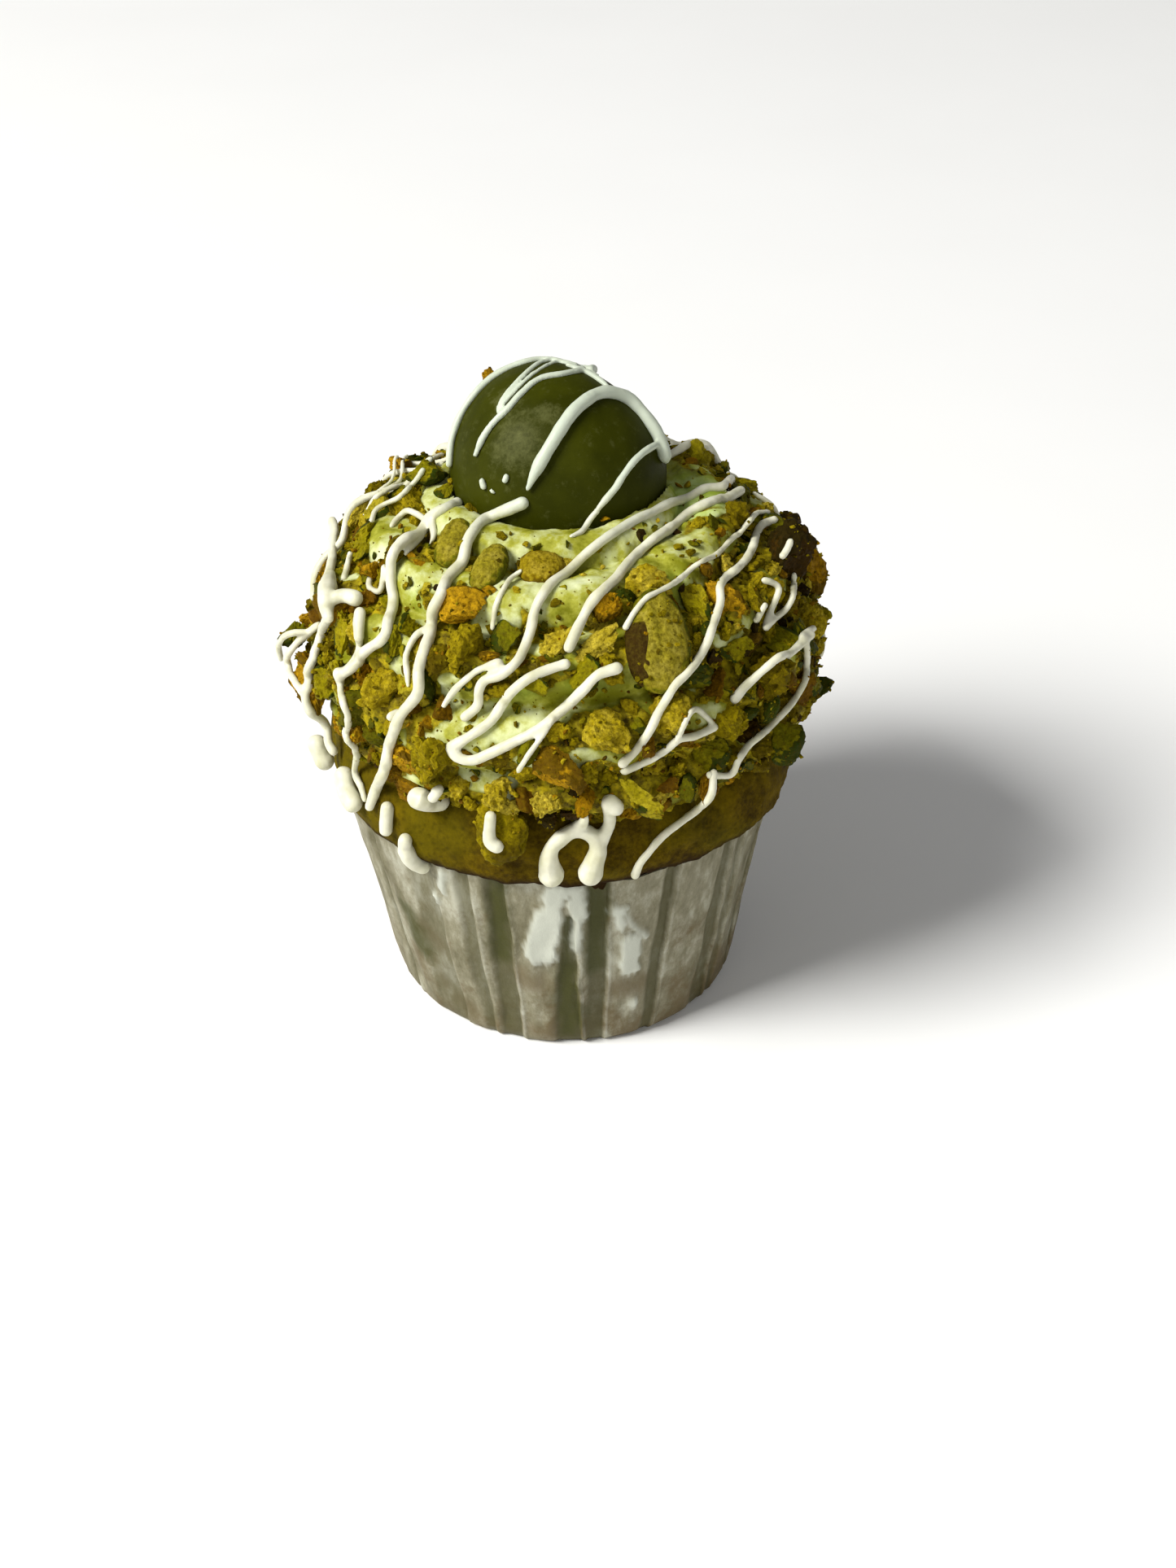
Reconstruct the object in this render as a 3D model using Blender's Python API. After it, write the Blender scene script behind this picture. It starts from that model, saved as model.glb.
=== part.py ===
"""Pistachio cupcake: a pleated paper case, a baked cake with a domed lip, a piped pistachio
mound rolled in chopped nuts, a chocolate ball on top and a drizzle of white chocolate.

The origin is the centre of the flat base, +Z is up and the side that faces -Y is the front.
Angles are in degrees: azimuth 0 is +X and -90 the front, and elevation 90 is straight up.
Sizes are in millimetres up to mesh_object, which turns them to metres.
"""
import math
import random

import bmesh
import bpy
from mathutils import Matrix, Vector

MM = 0.001
GAP = 0.35

# Paper case
BASE_RADIUS = 25.4
RIM_RADIUS = 31.5
RIM_HEIGHT = 34.2
RIM_WAVE = 0.25
RIM_SHIFT_X = -0.85
PAPER = 0.4
FRONT_PLEATS = (-180.0, -156.0, -137.0, -121.0, -110.0, -89.5, -76.0, -59.0, -34.0, -27.0, -10.0)
BACK_PLEATS = 10
PLEAT_DEPTH_BASE = 0.35
PLEAT_DEPTH_RIM = 1.05
PLEAT_SHAPE = ((0.0, 1.0), (0.3, 0.45), (0.84, -0.1), (0.94, -1.0))
CASE_LEVELS = (0.0, 0.03, 0.5, 1.0)

# Cake
CAKE_FOOT = (23.9, 1.5)
CAKE_AT_RIM = (29.6, 34.0)
CAKE_LIP = ((30.0, 34.95), (32.6, 35.4), (33.6, 38.0), (33.8, 40.5), (33.2, 43.5), (31.6, 46.2),
            (26.5, 49.6), (14.0, 52.5))
CAKE_TOP = 53.2
CAKE_SEGMENTS = 42

# Piped mound, a rounded dome about its own centre
CENTRE = Vector((0.0, 0.0, 51.0))
MOUND_RADIUS = 35.3
MOUND_HEIGHT = 28.5
MOUND_POWER = 2.7
MOUND_DEPTH = 7.5
MOUND_DEPTH_POWER = 2.2
SWIRL_PITCH = 16.5
SWIRL_DEPTH = 1.3
MOUND_SEGMENTS = 42
MOUND_LEVELS = (-45.0, -13.0, -7.0, -1.0, 4.5, 10.0, 15.5, 21.0, 26.5, 32.0, 37.5, 43.0, 48.5, 54.0, 59.5,
                65.0, 78.0)
CRUMB_RELIEF = 0.75
CRUMB_SEED = 23

# Chocolate ball
BALL_CENTRE = Vector((-0.5, 4.0, 79.9))
BALL_RADIUS = 15.2
BALL_FLAT_SIDE = Vector((0.616, 0.443, 0.652))
BALL_FLAT = 0.115
BALL_FULL_SIDE = Vector((-0.707, 0.397, 0.585))
BALL_FULL = 0.03

# Chopped nuts and crumbs: azimuth, elevation, width and height of the largest ones
LARGE_BITS = (
    (178, 37, 4.6, 7.6), (-118, 40, 6.0, 5.2), (-134, 17, 6.6, 8.0), (-114, 32, 6.0, 6.4),
    (-165, 4, 7.4, 7.6), (-118, 7, 6.6, 8.6), (-127, 3, 6.6, 6.4), (-77, 42, 3.6, 4.0),
    (-42, 36, 4.6, 6.6), (-50, 37, 3.8, 6.6), (-10, 33, 6.6, 8.4), (-37, 18, 7.0, 7.0),
    (-80, 16, 6.4, 7.0), (-90, 10, 7.0, 6.2), (-65, 17, 6.4, 5.4), (-55, 5, 5.6, 7.0),
    (-75, 0, 7.4, 3.8), (150, 41, 4.4, 4.0), (-9, 46, 5.4, 4.6), (-14, 2, 5.4, 5.4),
    (-81, 34, 6.4, 3.6), (-119, 28, 4.4, 4.4), (-91, 34, 5.4, 4.4), (-31, 42, 3.2, 3.2),
)
BIT_ROWS = ((-4, 26), (2, 26), (9, 26), (16, 25), (23, 24), (30, 22), (37, 20), (44, 17), (51, 8))
BIT_SPACING = 7.1
BIT_SEED = 41

# Whole kernels and the large clump, each a piece of its own:
# name, azimuth, elevation, length, width, thickness, turn and lift
KERNELS = (
    ("kernel_whole", -66.0, 33.0, 14.0, 8.8, 5.0, 78.0, 0.8),
    ("kernel_front", -116.5, 50.5, 8.2, 4.8, 3.6, 96.0, 1.1),
    ("kernel_upper_left", -138.0, 53.5, 8.8, 4.8, 3.8, 122.0, 1.0),
    ("kernel_round", -98.0, 53.5, 6.2, 5.8, 3.4, 20.0, 1.0),
)
CLUMP = (-100.0, -6.5, 10.8, 9.0, 7.0)

# Drizzle: width, then azimuth and elevation along the strand
DRIZZLE = (
    (2.6, (-118, 62), (-129, 61), (-132, 53), (-128, 43), (-125, 31), (-123, 20), (-128, 10), (-131, 3)),
    (2.2, (8, 54), (-12, 58), (-45, 61), (-70, 60), (-88, 53), (-97, 43), (-100, 32), (-108, 26),
     (-112, 17)),
    (2.4, (17, 41), (1, 49), (-27, 55), (-50, 54), (-69, 49), (-81, 43), (-88, 34)),
    (1.9, (2, 39), (-21, 46), (-42, 45), (-57, 42), (-70, 39), (-73, 36)),
    (2.3, (-10, 39), (-30, 39), (-42, 36), (-49, 31), (-58, 25), (-67, 20), (-72, 12), (-76, 7)),
    (1.9, (-75, 5), (-67, 9), (-62, 12), (-56, 12)),
    (1.8, (-64, 12), (-62, 16), (-59, 17), (-56, 12)),
    (2.3, (-88, 30), (-98, 27), (-104, 20), (-113, 11)),
    (2.3, (-114, 9), (-106, 11), (-95, 17), (-88, 22), (-81, 28)),
    (1.9, (-105, 29), (-112, 25), (-118, 18)),
    (2.5, (-167, 60), (-155, 49), (-149, 41), (-141, 35), (-138, 29), (-145, 20), (-144, 10), (-144, 0)),
    (3.0, (176, 31), (-173, 29), (-167, 24), (-164, 18), (-163, 10), (-166, 2)),
    (2.2, (-19, 17), (-33, 18), (-44, 19), (-50, 17)),
    (1.9, (-16, 13), (-29, 7), (-40, 4), (-49, 0)),
)
BACK_DRIZZLE = 5
BACK_DRIZZLE_SEED = 7
BALL_DRIZZLE = (
    (2.3, (5, 20), (-2, 42), (-42, 61), (-78, 52), (-97, 33), (-106, 17)),
    (1.3, (-8, 20), (-27, 24), (-50, 19), (-66, 8), (-72, 2)),
    (1.3, (-150, 76), (-143, 60), (-141, 42), (-145, 24)),
    (1.5, (60, 76), (135, 74), (160, 54), (176, 36), (-179, 14)),
    (1.6, (20, 64), (60, 48), (100, 36), (135, 22)),
)
CAKE_DRIZZLE = (
    (3.2, (-92, -21), (-94, -16), (-90, -12), (-85, -12), (-83, -17), (-83, -21)),
    (2.3, (-78, -9), (-81, -13), (-84, -17)),
    (2.2, (-55, -11.5), (-63, -14), (-68, -17), (-73, -22)),
    (2.4, (-107, -11), (-107, -14), (-106, -17)),
    (4.6, (-125, -11.5), (-123, -12)),
    (3.6, (-137, -15), (-136, -18)),
    (4.8, (-152, -15), (-151, -20)),
)
STRAND_STEP = 4.4
DRIP_STEP = 2.4
STRAND_SIDES = 5


def unit(azimuth, elevation):
    """Direction for an azimuth and an elevation in degrees."""
    a = math.radians(azimuth)
    e = math.radians(elevation)
    return Vector((math.cos(e) * math.cos(a), math.cos(e) * math.sin(a), math.sin(e)))


def mound_reach(azimuth, elevation):
    """Distance of the smooth piped mound from its centre, swirl ridges included."""
    e = math.radians(elevation)
    height = MOUND_HEIGHT if elevation >= 0 else MOUND_DEPTH
    power = MOUND_POWER if elevation >= 0 else MOUND_DEPTH_POWER
    flat = (abs(math.cos(e)) / MOUND_RADIUS) ** power + (abs(math.sin(e)) / height) ** power
    reach = flat ** (-1.0 / power)
    turn = math.pi * (elevation / SWIRL_PITCH - azimuth / 360.0)
    ridge = 2.0 * abs(math.cos(turn)) - 1.4
    fade = max(0.0, min(1.0, (elevation + 14.0) / 8.0, (74.0 - elevation) / 16.0))
    return reach + SWIRL_DEPTH * ridge * fade


def lip_reach(elevation):
    """Distance of the cake's lip from the mound's centre, below it, or zero above."""
    slope = math.tan(math.radians(elevation))
    for (r0, z0), (r1, z1) in zip(CAKE_LIP[:-1], CAKE_LIP[1:]):
        side0 = z0 - CENTRE.z - slope * r0
        side1 = z1 - CENTRE.z - slope * r1
        if side0 * side1 <= 0.0 and z0 < CENTRE.z:
            share = side0 / (side0 - side1)
            return math.hypot(r0 + (r1 - r0) * share, z0 + (z1 - z0) * share - CENTRE.z)
    return 0.0


def food_point(azimuth, elevation, lift=0.0):
    """Point on the mound or the cake's lip, whichever is further out, plus a lift."""
    reach = mound_reach(azimuth, elevation)
    if elevation < 0:
        reach = max(reach, lip_reach(elevation))
    return CENTRE + unit(azimuth, elevation) * (reach + lift)


def ball_reach(direction):
    """Radius of the ball in a direction: a little flat on one shoulder, full on the other."""
    flat = math.exp(-((direction.angle(BALL_FLAT_SIDE) / math.radians(36.0)) ** 2))
    full = math.exp(-((direction.angle(BALL_FULL_SIDE) / math.radians(45.0)) ** 2))
    return BALL_RADIUS * (1.0 - BALL_FLAT * flat + BALL_FULL * full)


def ball_point(azimuth, elevation, lift=0.0):
    """Point on the ball's surface, plus a lift."""
    direction = unit(azimuth, elevation)
    return BALL_CENTRE + direction * (ball_reach(direction) + lift)


def plain_material(name, colour, roughness):
    """A Principled material of one colour."""
    material = bpy.data.materials.new(name)
    material.use_nodes = True
    shader = material.node_tree.nodes["Principled BSDF"]
    shader.inputs["Base Color"].default_value = (*colour, 1.0)
    shader.inputs["Roughness"].default_value = roughness
    shader.inputs["Metallic"].default_value = 0.0
    return material


def mesh_object(name, bm, material=None, collection=None):
    """Turn a bmesh in millimetres into an object in metres, with its faces outwards."""
    bmesh.ops.recalc_face_normals(bm, faces=bm.faces)
    bmesh.ops.scale(bm, vec=(MM, MM, MM), verts=bm.verts)
    mesh = bpy.data.meshes.new(name)
    bm.to_mesh(mesh)
    bm.free()
    thing = bpy.data.objects.new(name, mesh)
    (collection or bpy.context.scene.collection).objects.link(thing)
    if material:
        mesh.materials.append(material)
    return thing


def skin_rings(bm, rings, first_tip=None, last_tip=None):
    """Join rings of points by quads, and close each end on a tip point or a flat face."""
    loops = [[bm.verts.new(point) for point in ring] for ring in rings]
    count = len(loops[0])
    for lower, upper in zip(loops[:-1], loops[1:]):
        for i in range(count):
            j = (i + 1) % count
            bm.faces.new((lower[i], lower[j], upper[j], upper[i]))
    for tip, loop in ((first_tip, loops[0]), (last_tip, loops[-1])):
        if tip is None:
            bm.faces.new(loop)
            continue
        point = bm.verts.new(tip)
        for i in range(count):
            bm.faces.new((loop[i], loop[(i + 1) % count], point))


def smooth(thing, angle=50.0):
    """Shade a piece smooth, with its sharper edges kept."""
    thing.data.shade_smooth()
    thing.data.set_sharp_from_angle(angle=math.radians(angle))


def pleat_edges():
    """Azimuths of the pleats: the front ones as they show, the back ones by rule."""
    rng = random.Random(3)
    step = (180.0 - FRONT_PLEATS[-1]) / (BACK_PLEATS + 1)
    back = [FRONT_PLEATS[-1] + step * (i + 1) + rng.uniform(-2.5, 2.5) for i in range(BACK_PLEATS)]
    return list(FRONT_PLEATS) + back + [180.0]


def case_ring(share, inset):
    """One ring of the pleated wall, at a share of its height."""
    points = []
    edges = pleat_edges()
    depth = PLEAT_DEPTH_BASE + (PLEAT_DEPTH_RIM - PLEAT_DEPTH_BASE) * share
    for number, (start, end) in enumerate(zip(edges[:-1], edges[1:])):
        for along, out in PLEAT_SHAPE:
            azimuth = math.radians(start + (end - start) * along)
            radius = BASE_RADIUS + (RIM_RADIUS - BASE_RADIUS) * share + depth * out - inset
            if share == 0.0:
                radius -= 0.7
            height = RIM_HEIGHT * share + (RIM_WAVE * math.sin(number * 2.3) if share == 1.0 else 0.0)
            points.append(Vector((radius * math.cos(azimuth) + RIM_SHIFT_X * share,
                                  radius * math.sin(azimuth), height)))
    return points


def build_case(material):
    """The paper case: a thin pleated wall on a flat round base, open at the top."""
    bm = bmesh.new()
    outer = [case_ring(share, 0.0) for share in CASE_LEVELS]
    inner = [case_ring(share, PAPER) for share in CASE_LEVELS[::-1]]
    for ring in inner[-2:]:
        for point in ring:
            point.z = max(point.z, PAPER)
    inner[-1] = [Vector((point.x * 0.97, point.y * 0.97, PAPER)) for point in inner[-1]]
    inner[-2] = [Vector((point.x, point.y, PAPER + 0.9)) for point in inner[-2]]
    skin_rings(bm, outer + inner, Vector((0.0, 0.0, 0.0)), Vector((0.0, 0.0, PAPER)))
    return mesh_object("paper_case", bm, material)


def cake_rings(grow):
    """Rings of the cake from its foot to its dome, grown outwards by a distance."""
    profile = [CAKE_FOOT, CAKE_AT_RIM, *CAKE_LIP]
    rings = []
    for i, (radius, height) in enumerate(profile):
        before = profile[max(i - 1, 0)]
        after = profile[min(i + 1, len(profile) - 1)]
        along = Vector((after[0] - before[0], after[1] - before[1])).normalized()
        out_r, out_z = along.y, -along.x
        if i == 0:
            out_r, out_z = 1.0, -1.0
        ring = []
        for j in range(CAKE_SEGMENTS):
            angle = 2.0 * math.pi * j / CAKE_SEGMENTS
            wave = 0.0
            if height > 35.2:
                wave = 0.28 * math.sin(3 * angle + 1.0) + 0.22 * math.sin(7 * angle)
                wave *= min(1.0, (53.5 - height) / 8.0)
            r = radius + wave + grow * out_r
            shift = RIM_SHIFT_X * min(1.0, height / RIM_HEIGHT)
            ring.append(Vector((r * math.cos(angle) + shift, r * math.sin(angle), height + grow * out_z)))
        rings.append(ring)
    return rings


def build_cake(name, grow, material=None, collection=None):
    """The cake, or with a growth the space that it needs."""
    bm = bmesh.new()
    low = Vector((0.0, 0.0, CAKE_FOOT[1] - grow))
    skin_rings(bm, cake_rings(grow), low, Vector((RIM_SHIFT_X, 0.0, CAKE_TOP + grow)))
    return mesh_object(name, bm, material, collection)


def build_mound(name, material):
    """The piped mound with its swirl, as a full body that the cake and ball are cut from."""
    bm = bmesh.new()
    rng = random.Random(CRUMB_SEED)
    rings = []
    for elevation in MOUND_LEVELS:
        crumbs = CRUMB_RELIEF if elevation < 45.0 else 0.2
        ring = []
        for j in range(MOUND_SEGMENTS):
            azimuth = 360.0 * (j + rng.uniform(-0.2, 0.2)) / MOUND_SEGMENTS
            reach = mound_reach(azimuth, elevation) + rng.uniform(-crumbs, crumbs)
            ring.append(CENTRE + unit(azimuth, elevation) * reach)
        rings.append(ring)
    low = CENTRE + Vector((0.0, 0.0, -MOUND_DEPTH))
    skin_rings(bm, rings, low, CENTRE + Vector((0.0, 0.0, MOUND_HEIGHT)))
    return mesh_object(name, bm, material)


def build_ball(name, grow, material=None, collection=None):
    """The chocolate ball, or with a growth its pocket in the mound."""
    bm = bmesh.new()
    bmesh.ops.create_uvsphere(bm, u_segments=26, v_segments=14, radius=1.0)
    for vert in bm.verts:
        direction = vert.co.normalized()
        vert.co = BALL_CENTRE + direction * (ball_reach(direction) + grow)
    return mesh_object(name, bm, material, collection)


def frame_at(azimuth, elevation, lift, turn, reach=3.0):
    """Placement on the food: local Z outwards, local X turned from level by an angle."""
    place = food_point(azimuth, elevation, lift)
    east = food_point(azimuth + reach, elevation) - food_point(azimuth - reach, elevation)
    north = food_point(azimuth, elevation + reach) - food_point(azimuth, elevation - reach)
    normal = east.cross(north).normalized()
    east = (east - normal * east.dot(normal)).normalized()
    basis = Matrix((east, normal.cross(east), normal)).transposed().to_4x4()
    return Matrix.Translation(place) @ basis @ Matrix.Rotation(math.radians(turn), 4, "Z")


def build_bit(name, rng, place, size, collection, rough=0.3):
    """One chopped piece: a small faceted lump with uneven corners."""
    bm = bmesh.new()
    bmesh.ops.create_cube(bm, size=0.8)
    for vert in bm.verts:
        vert.co = Vector([c * rng.uniform(1.0 - rough, 1.0 + rough) for c in vert.co])
        vert.co = Vector((vert.co.x * size[0], vert.co.y * size[1], vert.co.z * size[2]))
    bmesh.ops.transform(bm, matrix=place, verts=bm.verts)
    return mesh_object(name, bm, None, collection)


def build_kernel(name, row, grow, material=None, collection=None):
    """A whole kernel: a long egg shape, flat below, with a crease along its back."""
    azimuth, elevation, length, width, thick, turn, lift = row
    bm = bmesh.new()
    bmesh.ops.create_uvsphere(bm, u_segments=12, v_segments=7, radius=1.0)
    turned = Matrix.Rotation(math.radians(90.0), 4, "Y")
    bmesh.ops.transform(bm, matrix=turned, verts=bm.verts)
    for vert in bm.verts:
        x, y, z = vert.co
        slim = 1.0 - 0.16 * x
        crease = 0.14 * math.exp(-((y / 0.22) ** 2)) if z > 0.3 else 0.0
        half = 0.5 if z > 0.0 else 0.4
        vert.co = Vector((x * (length / 2.0 + grow), y * slim * (width / 2.0 + grow),
                          (z - crease) * (thick * half + grow)))
    place = frame_at(azimuth, elevation, lift, turn, SWIRL_PITCH / 2.0)
    bmesh.ops.transform(bm, matrix=place, verts=bm.verts)
    return mesh_object(name, bm, material, collection)


def build_clump(name, grow, material=None, collection=None):
    """The large clump of nut crumbs that hangs from the mound over the cake's lip."""
    azimuth, elevation, height, width, thick = CLUMP
    rng = random.Random(19)
    bm = bmesh.new()
    bmesh.ops.create_icosphere(bm, subdivisions=2, radius=0.5)
    for vert in bm.verts:
        vert.co *= rng.uniform(0.86, 1.14)
        scale = Vector((width + 2 * grow, height + 2 * grow, thick + 2 * grow))
        vert.co = Vector((vert.co.x * scale.x, vert.co.y * scale.y, vert.co.z * scale.z))
    bmesh.ops.transform(bm, matrix=frame_at(azimuth, elevation, 2.3, 0.0), verts=bm.verts)
    return mesh_object(name, bm, material, collection)


def smooth_path(points, step):
    """Even points along a curve that passes through the given ones."""
    line = []
    padded = [points[0] * 2 - points[1]] + list(points) + [points[-1] * 2 - points[-2]]
    for p0, p1, p2, p3 in zip(padded[:-3], padded[1:-2], padded[2:-1], padded[3:]):
        parts = max(1, round((p2 - p1).length / step))
        for i in range(parts):
            t = i / parts
            line.append(0.5 * (2 * p1 + (p2 - p0) * t + (2 * p0 - 5 * p1 + 4 * p2 - p3) * t * t
                               + (3 * p1 - p0 - 3 * p2 + p3) * t ** 3))
    return line + [points[-1]]


def build_strand(name, width, points, heart, grow, collection, step=STRAND_STEP):
    """A strand of drizzle: an uneven five-sided cord along a path, with rounded ends."""
    path = smooth_path(points, step)
    rng = random.Random(int(width * 10) + len(path))
    rings = []
    for i, point in enumerate(path):
        along = (path[min(i + 1, len(path) - 1)] - path[max(i - 1, 0)]).normalized()
        side = along.cross(point - heart).normalized()
        up = side.cross(along).normalized()
        end = 0.72 if i in (0, len(path) - 1) else 1.0
        radius = width / 2.0 * end * rng.uniform(0.9, 1.12) + grow
        rings.append([point + side * radius * math.cos(2 * math.pi * k / STRAND_SIDES)
                      + up * radius * 0.85 * math.sin(2 * math.pi * k / STRAND_SIDES)
                      for k in range(STRAND_SIDES)])
    first = path[0] + (path[0] - path[1]).normalized() * (width * 0.35 + grow)
    last = path[-1] + (path[-1] - path[-2]).normalized() * (width * 0.35 + grow)
    bm = bmesh.new()
    skin_rings(bm, rings, first, last)
    return mesh_object(name, bm, None, collection)


def bit_places():
    """Rows for the chopped pieces: the large ones as seen, then rows by rule between them."""
    rng = random.Random(BIT_SEED)
    places = [(a, e, w, h, rng.uniform(-12, 12)) for a, e, w, h in LARGE_BITS]
    taken = [food_point(a, e) for a, e, *_ in LARGE_BITS]
    taken += [food_point(row[1], row[2]) for row in KERNELS]
    taken.append(food_point(CLUMP[0], CLUMP[1]))
    for elevation, count in BIT_ROWS:
        start = rng.uniform(0.0, 360.0)
        for i in range(count):
            azimuth = start + 360.0 * i / count + rng.uniform(-4.0, 4.0)
            level = elevation + rng.uniform(-3.0, 3.0)
            width = rng.uniform(3.8, 6.6)
            point = food_point(azimuth, level)
            near = min((point - other).length for other in taken)
            if near < BIT_SPACING:
                continue
            taken.append(point)
            places.append((azimuth, level, width, width * rng.uniform(0.75, 1.15), rng.uniform(0, 180)))
    return places


def fuse(body, collection, operation):
    """Join a collection to a body, or cut it away, and remove the collection's objects."""
    tool = body.modifiers.new(operation.lower(), "BOOLEAN")
    tool.operation = operation
    tool.operand_type = "COLLECTION"
    tool.collection = collection
    tool.solver = "MANIFOLD"
    bpy.ops.object.select_all(action="DESELECT")
    bpy.context.view_layer.objects.active = body
    body.select_set(True)
    bpy.ops.object.modifier_apply(modifier=tool.name)
    for thing in list(collection.objects):
        bpy.data.objects.remove(thing, do_unlink=True)
    bpy.data.collections.remove(collection)


def keep_largest(thing):
    """Drop loose scraps: only the body with the most points stays."""
    bm = bmesh.new()
    bm.from_mesh(thing.data)
    bmesh.ops.triangulate(bm, faces=bm.faces)
    unseen = set(bm.verts)
    bodies = []
    while unseen:
        queue = [unseen.pop()]
        group = set(queue)
        while queue:
            for edge in queue.pop().link_edges:
                for vert in edge.verts:
                    if vert in unseen:
                        unseen.discard(vert)
                        group.add(vert)
                        queue.append(vert)
        bodies.append(group)
    bodies.sort(key=len, reverse=True)
    scraps = [vert for group in bodies[1:] for vert in group]
    bmesh.ops.delete(bm, geom=scraps, context="VERTS")
    bm.to_mesh(thing.data)
    bm.free()


def new_group(name):
    """A collection for the operands of one Boolean."""
    group = bpy.data.collections.new(name)
    bpy.context.scene.collection.children.link(group)
    return group


def cake_drips(grow, collection):
    """The drizzle that lies on the cake's lip."""
    for i, (width, *spots) in enumerate(CAKE_DRIZZLE):
        points = [food_point(a, e, width * 0.3) for a, e in spots]
        build_strand(f"drip_{i}", width, points, CENTRE, grow, collection, DRIP_STEP)


def back_strands():
    """Slanting strands for the side that faces away, by rule."""
    rng = random.Random(BACK_DRIZZLE_SEED)
    rows = []
    for i in range(BACK_DRIZZLE):
        start = 20.0 + 145.0 * (i + 0.5) / BACK_DRIZZLE + rng.uniform(-5, 5)
        drop = rng.uniform(38.0, 52.0)
        top = rng.uniform(42.0, 60.0)
        spots = [(start + 14.0 * t + rng.uniform(-3, 3), top - drop * t) for t in (0.0, 0.33, 0.66, 1.0)]
        rows.append((rng.uniform(1.8, 2.5), *spots))
    return rows


def build_frosting(material):
    """The mound with its nuts and drizzle, cut to sit on the cake and hold the ball."""
    body = build_mound("frosting", material)
    group = new_group("frosting_toppings")
    rng = random.Random(BIT_SEED + 1)
    for i, (azimuth, elevation, width, height, turn) in enumerate(bit_places()):
        tilt = Matrix.Rotation(rng.uniform(-0.45, 0.45), 4, "X") @ Matrix.Rotation(rng.uniform(-0.45, 0.45), 4, "Y")
        place = frame_at(azimuth, elevation, 0.4, turn) @ tilt
        size = (width, height, min(width, height) * rng.uniform(0.75, 1.0))
        build_bit(f"bit_{i}", rng, place, size, group)
    for i, (width, *spots) in enumerate((*DRIZZLE, *back_strands())):
        points = [food_point(a, e, 1.0) for a, e in spots]
        build_strand(f"strand_{i}", width, points, CENTRE, 0.0, group)
    fuse(body, group, "UNION")
    hollows = new_group("frosting_hollows")
    build_cake("cake_space", GAP, None, hollows)
    build_ball("ball_space", GAP, None, hollows)
    for name, *row in KERNELS:
        build_kernel(name + "_space", row, GAP, None, hollows)
    build_clump("clump_space", GAP, None, hollows)
    cake_drips(GAP, hollows)
    fuse(body, hollows, "DIFFERENCE")
    keep_largest(body)
    smooth(body)
    return body


def main():
    """Build every piece in order, from the case up."""
    for thing in list(bpy.data.objects):
        bpy.data.objects.remove(thing, do_unlink=True)

    paper = plain_material("greaseproof_paper", (0.30, 0.28, 0.19), 0.65)
    sponge = plain_material("baked_sponge", (0.16, 0.11, 0.02), 0.85)
    cream = plain_material("pistachio_cream", (0.45, 0.44, 0.14), 0.55)
    chocolate = plain_material("green_chocolate", (0.06, 0.07, 0.008), 0.35)
    kernel = plain_material("pistachio_kernel", (0.20, 0.17, 0.02), 0.5)
    crumbs = plain_material("nut_crumb_clump", (0.26, 0.19, 0.03), 0.7)

    case = build_case(paper)
    smooth(case, 25.0)

    cake = build_cake("cake", 0.0, sponge)
    drips = new_group("cake_drips")
    cake_drips(0.0, drips)
    fuse(cake, drips, "UNION")
    spaces = new_group("cake_spaces")
    build_clump("clump_space", GAP, None, spaces)
    fuse(cake, spaces, "DIFFERENCE")
    keep_largest(cake)
    smooth(cake)

    build_frosting(cream)

    ball = build_ball("chocolate_ball", 0.0, chocolate)
    strands = new_group("ball_drizzle")
    for i, (width, *spots) in enumerate(BALL_DRIZZLE):
        points = [ball_point(a, e, width * 0.2) for a, e in spots]
        build_strand(f"ball_strand_{i}", width, points, BALL_CENTRE, 0.0, strands)
    fuse(ball, strands, "UNION")
    keep_largest(ball)
    smooth(ball)

    for name, *row in KERNELS:
        smooth(build_kernel(name, row, 0.0, kernel))
    smooth(build_clump("crumb_clump", 0.0, crumbs), 30.0)


main()
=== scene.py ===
"""Pistachio cupcake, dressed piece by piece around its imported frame.

A pleated greaseproof case holds a baked cake with a domed lip. On it sits a piped mound of
pistachio cream rolled in chopped nuts, with a green chocolate ball pressed into its top and
white chocolate drizzled over everything. The side that faces -Y is the front.

Pieces are modelled in millimetres and settled into metres when they are finished. A place on the
food is an azimuth and an elevation in degrees, seen from the middle of the mound: azimuth 0 is
+X, -90 the front, and elevation 90 straight up.
"""

import logging
import math
import random
from collections.abc import Callable, Iterable, Iterator, Sequence
from contextlib import contextmanager
from dataclasses import dataclass, field
from enum import Enum

import bpy
import numpy as np
from mathutils import Matrix, Vector, noise
from mathutils.bvhtree import BVHTree


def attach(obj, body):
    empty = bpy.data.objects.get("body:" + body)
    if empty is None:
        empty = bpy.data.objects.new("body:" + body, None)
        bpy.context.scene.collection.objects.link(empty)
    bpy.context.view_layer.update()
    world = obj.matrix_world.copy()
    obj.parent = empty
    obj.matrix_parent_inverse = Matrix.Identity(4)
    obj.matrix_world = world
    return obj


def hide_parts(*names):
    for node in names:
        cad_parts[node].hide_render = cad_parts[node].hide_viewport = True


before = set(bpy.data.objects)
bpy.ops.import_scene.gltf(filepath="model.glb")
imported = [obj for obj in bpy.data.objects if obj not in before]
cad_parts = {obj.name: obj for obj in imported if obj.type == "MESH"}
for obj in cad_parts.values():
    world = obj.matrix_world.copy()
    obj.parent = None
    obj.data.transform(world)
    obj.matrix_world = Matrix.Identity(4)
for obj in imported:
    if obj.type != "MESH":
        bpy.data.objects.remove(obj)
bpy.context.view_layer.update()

# A millimetre in metres, the photograph's height in pixels and the camera's place in millimetres.
MM = 0.001
PHOTO_HEIGHT = 1927
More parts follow.
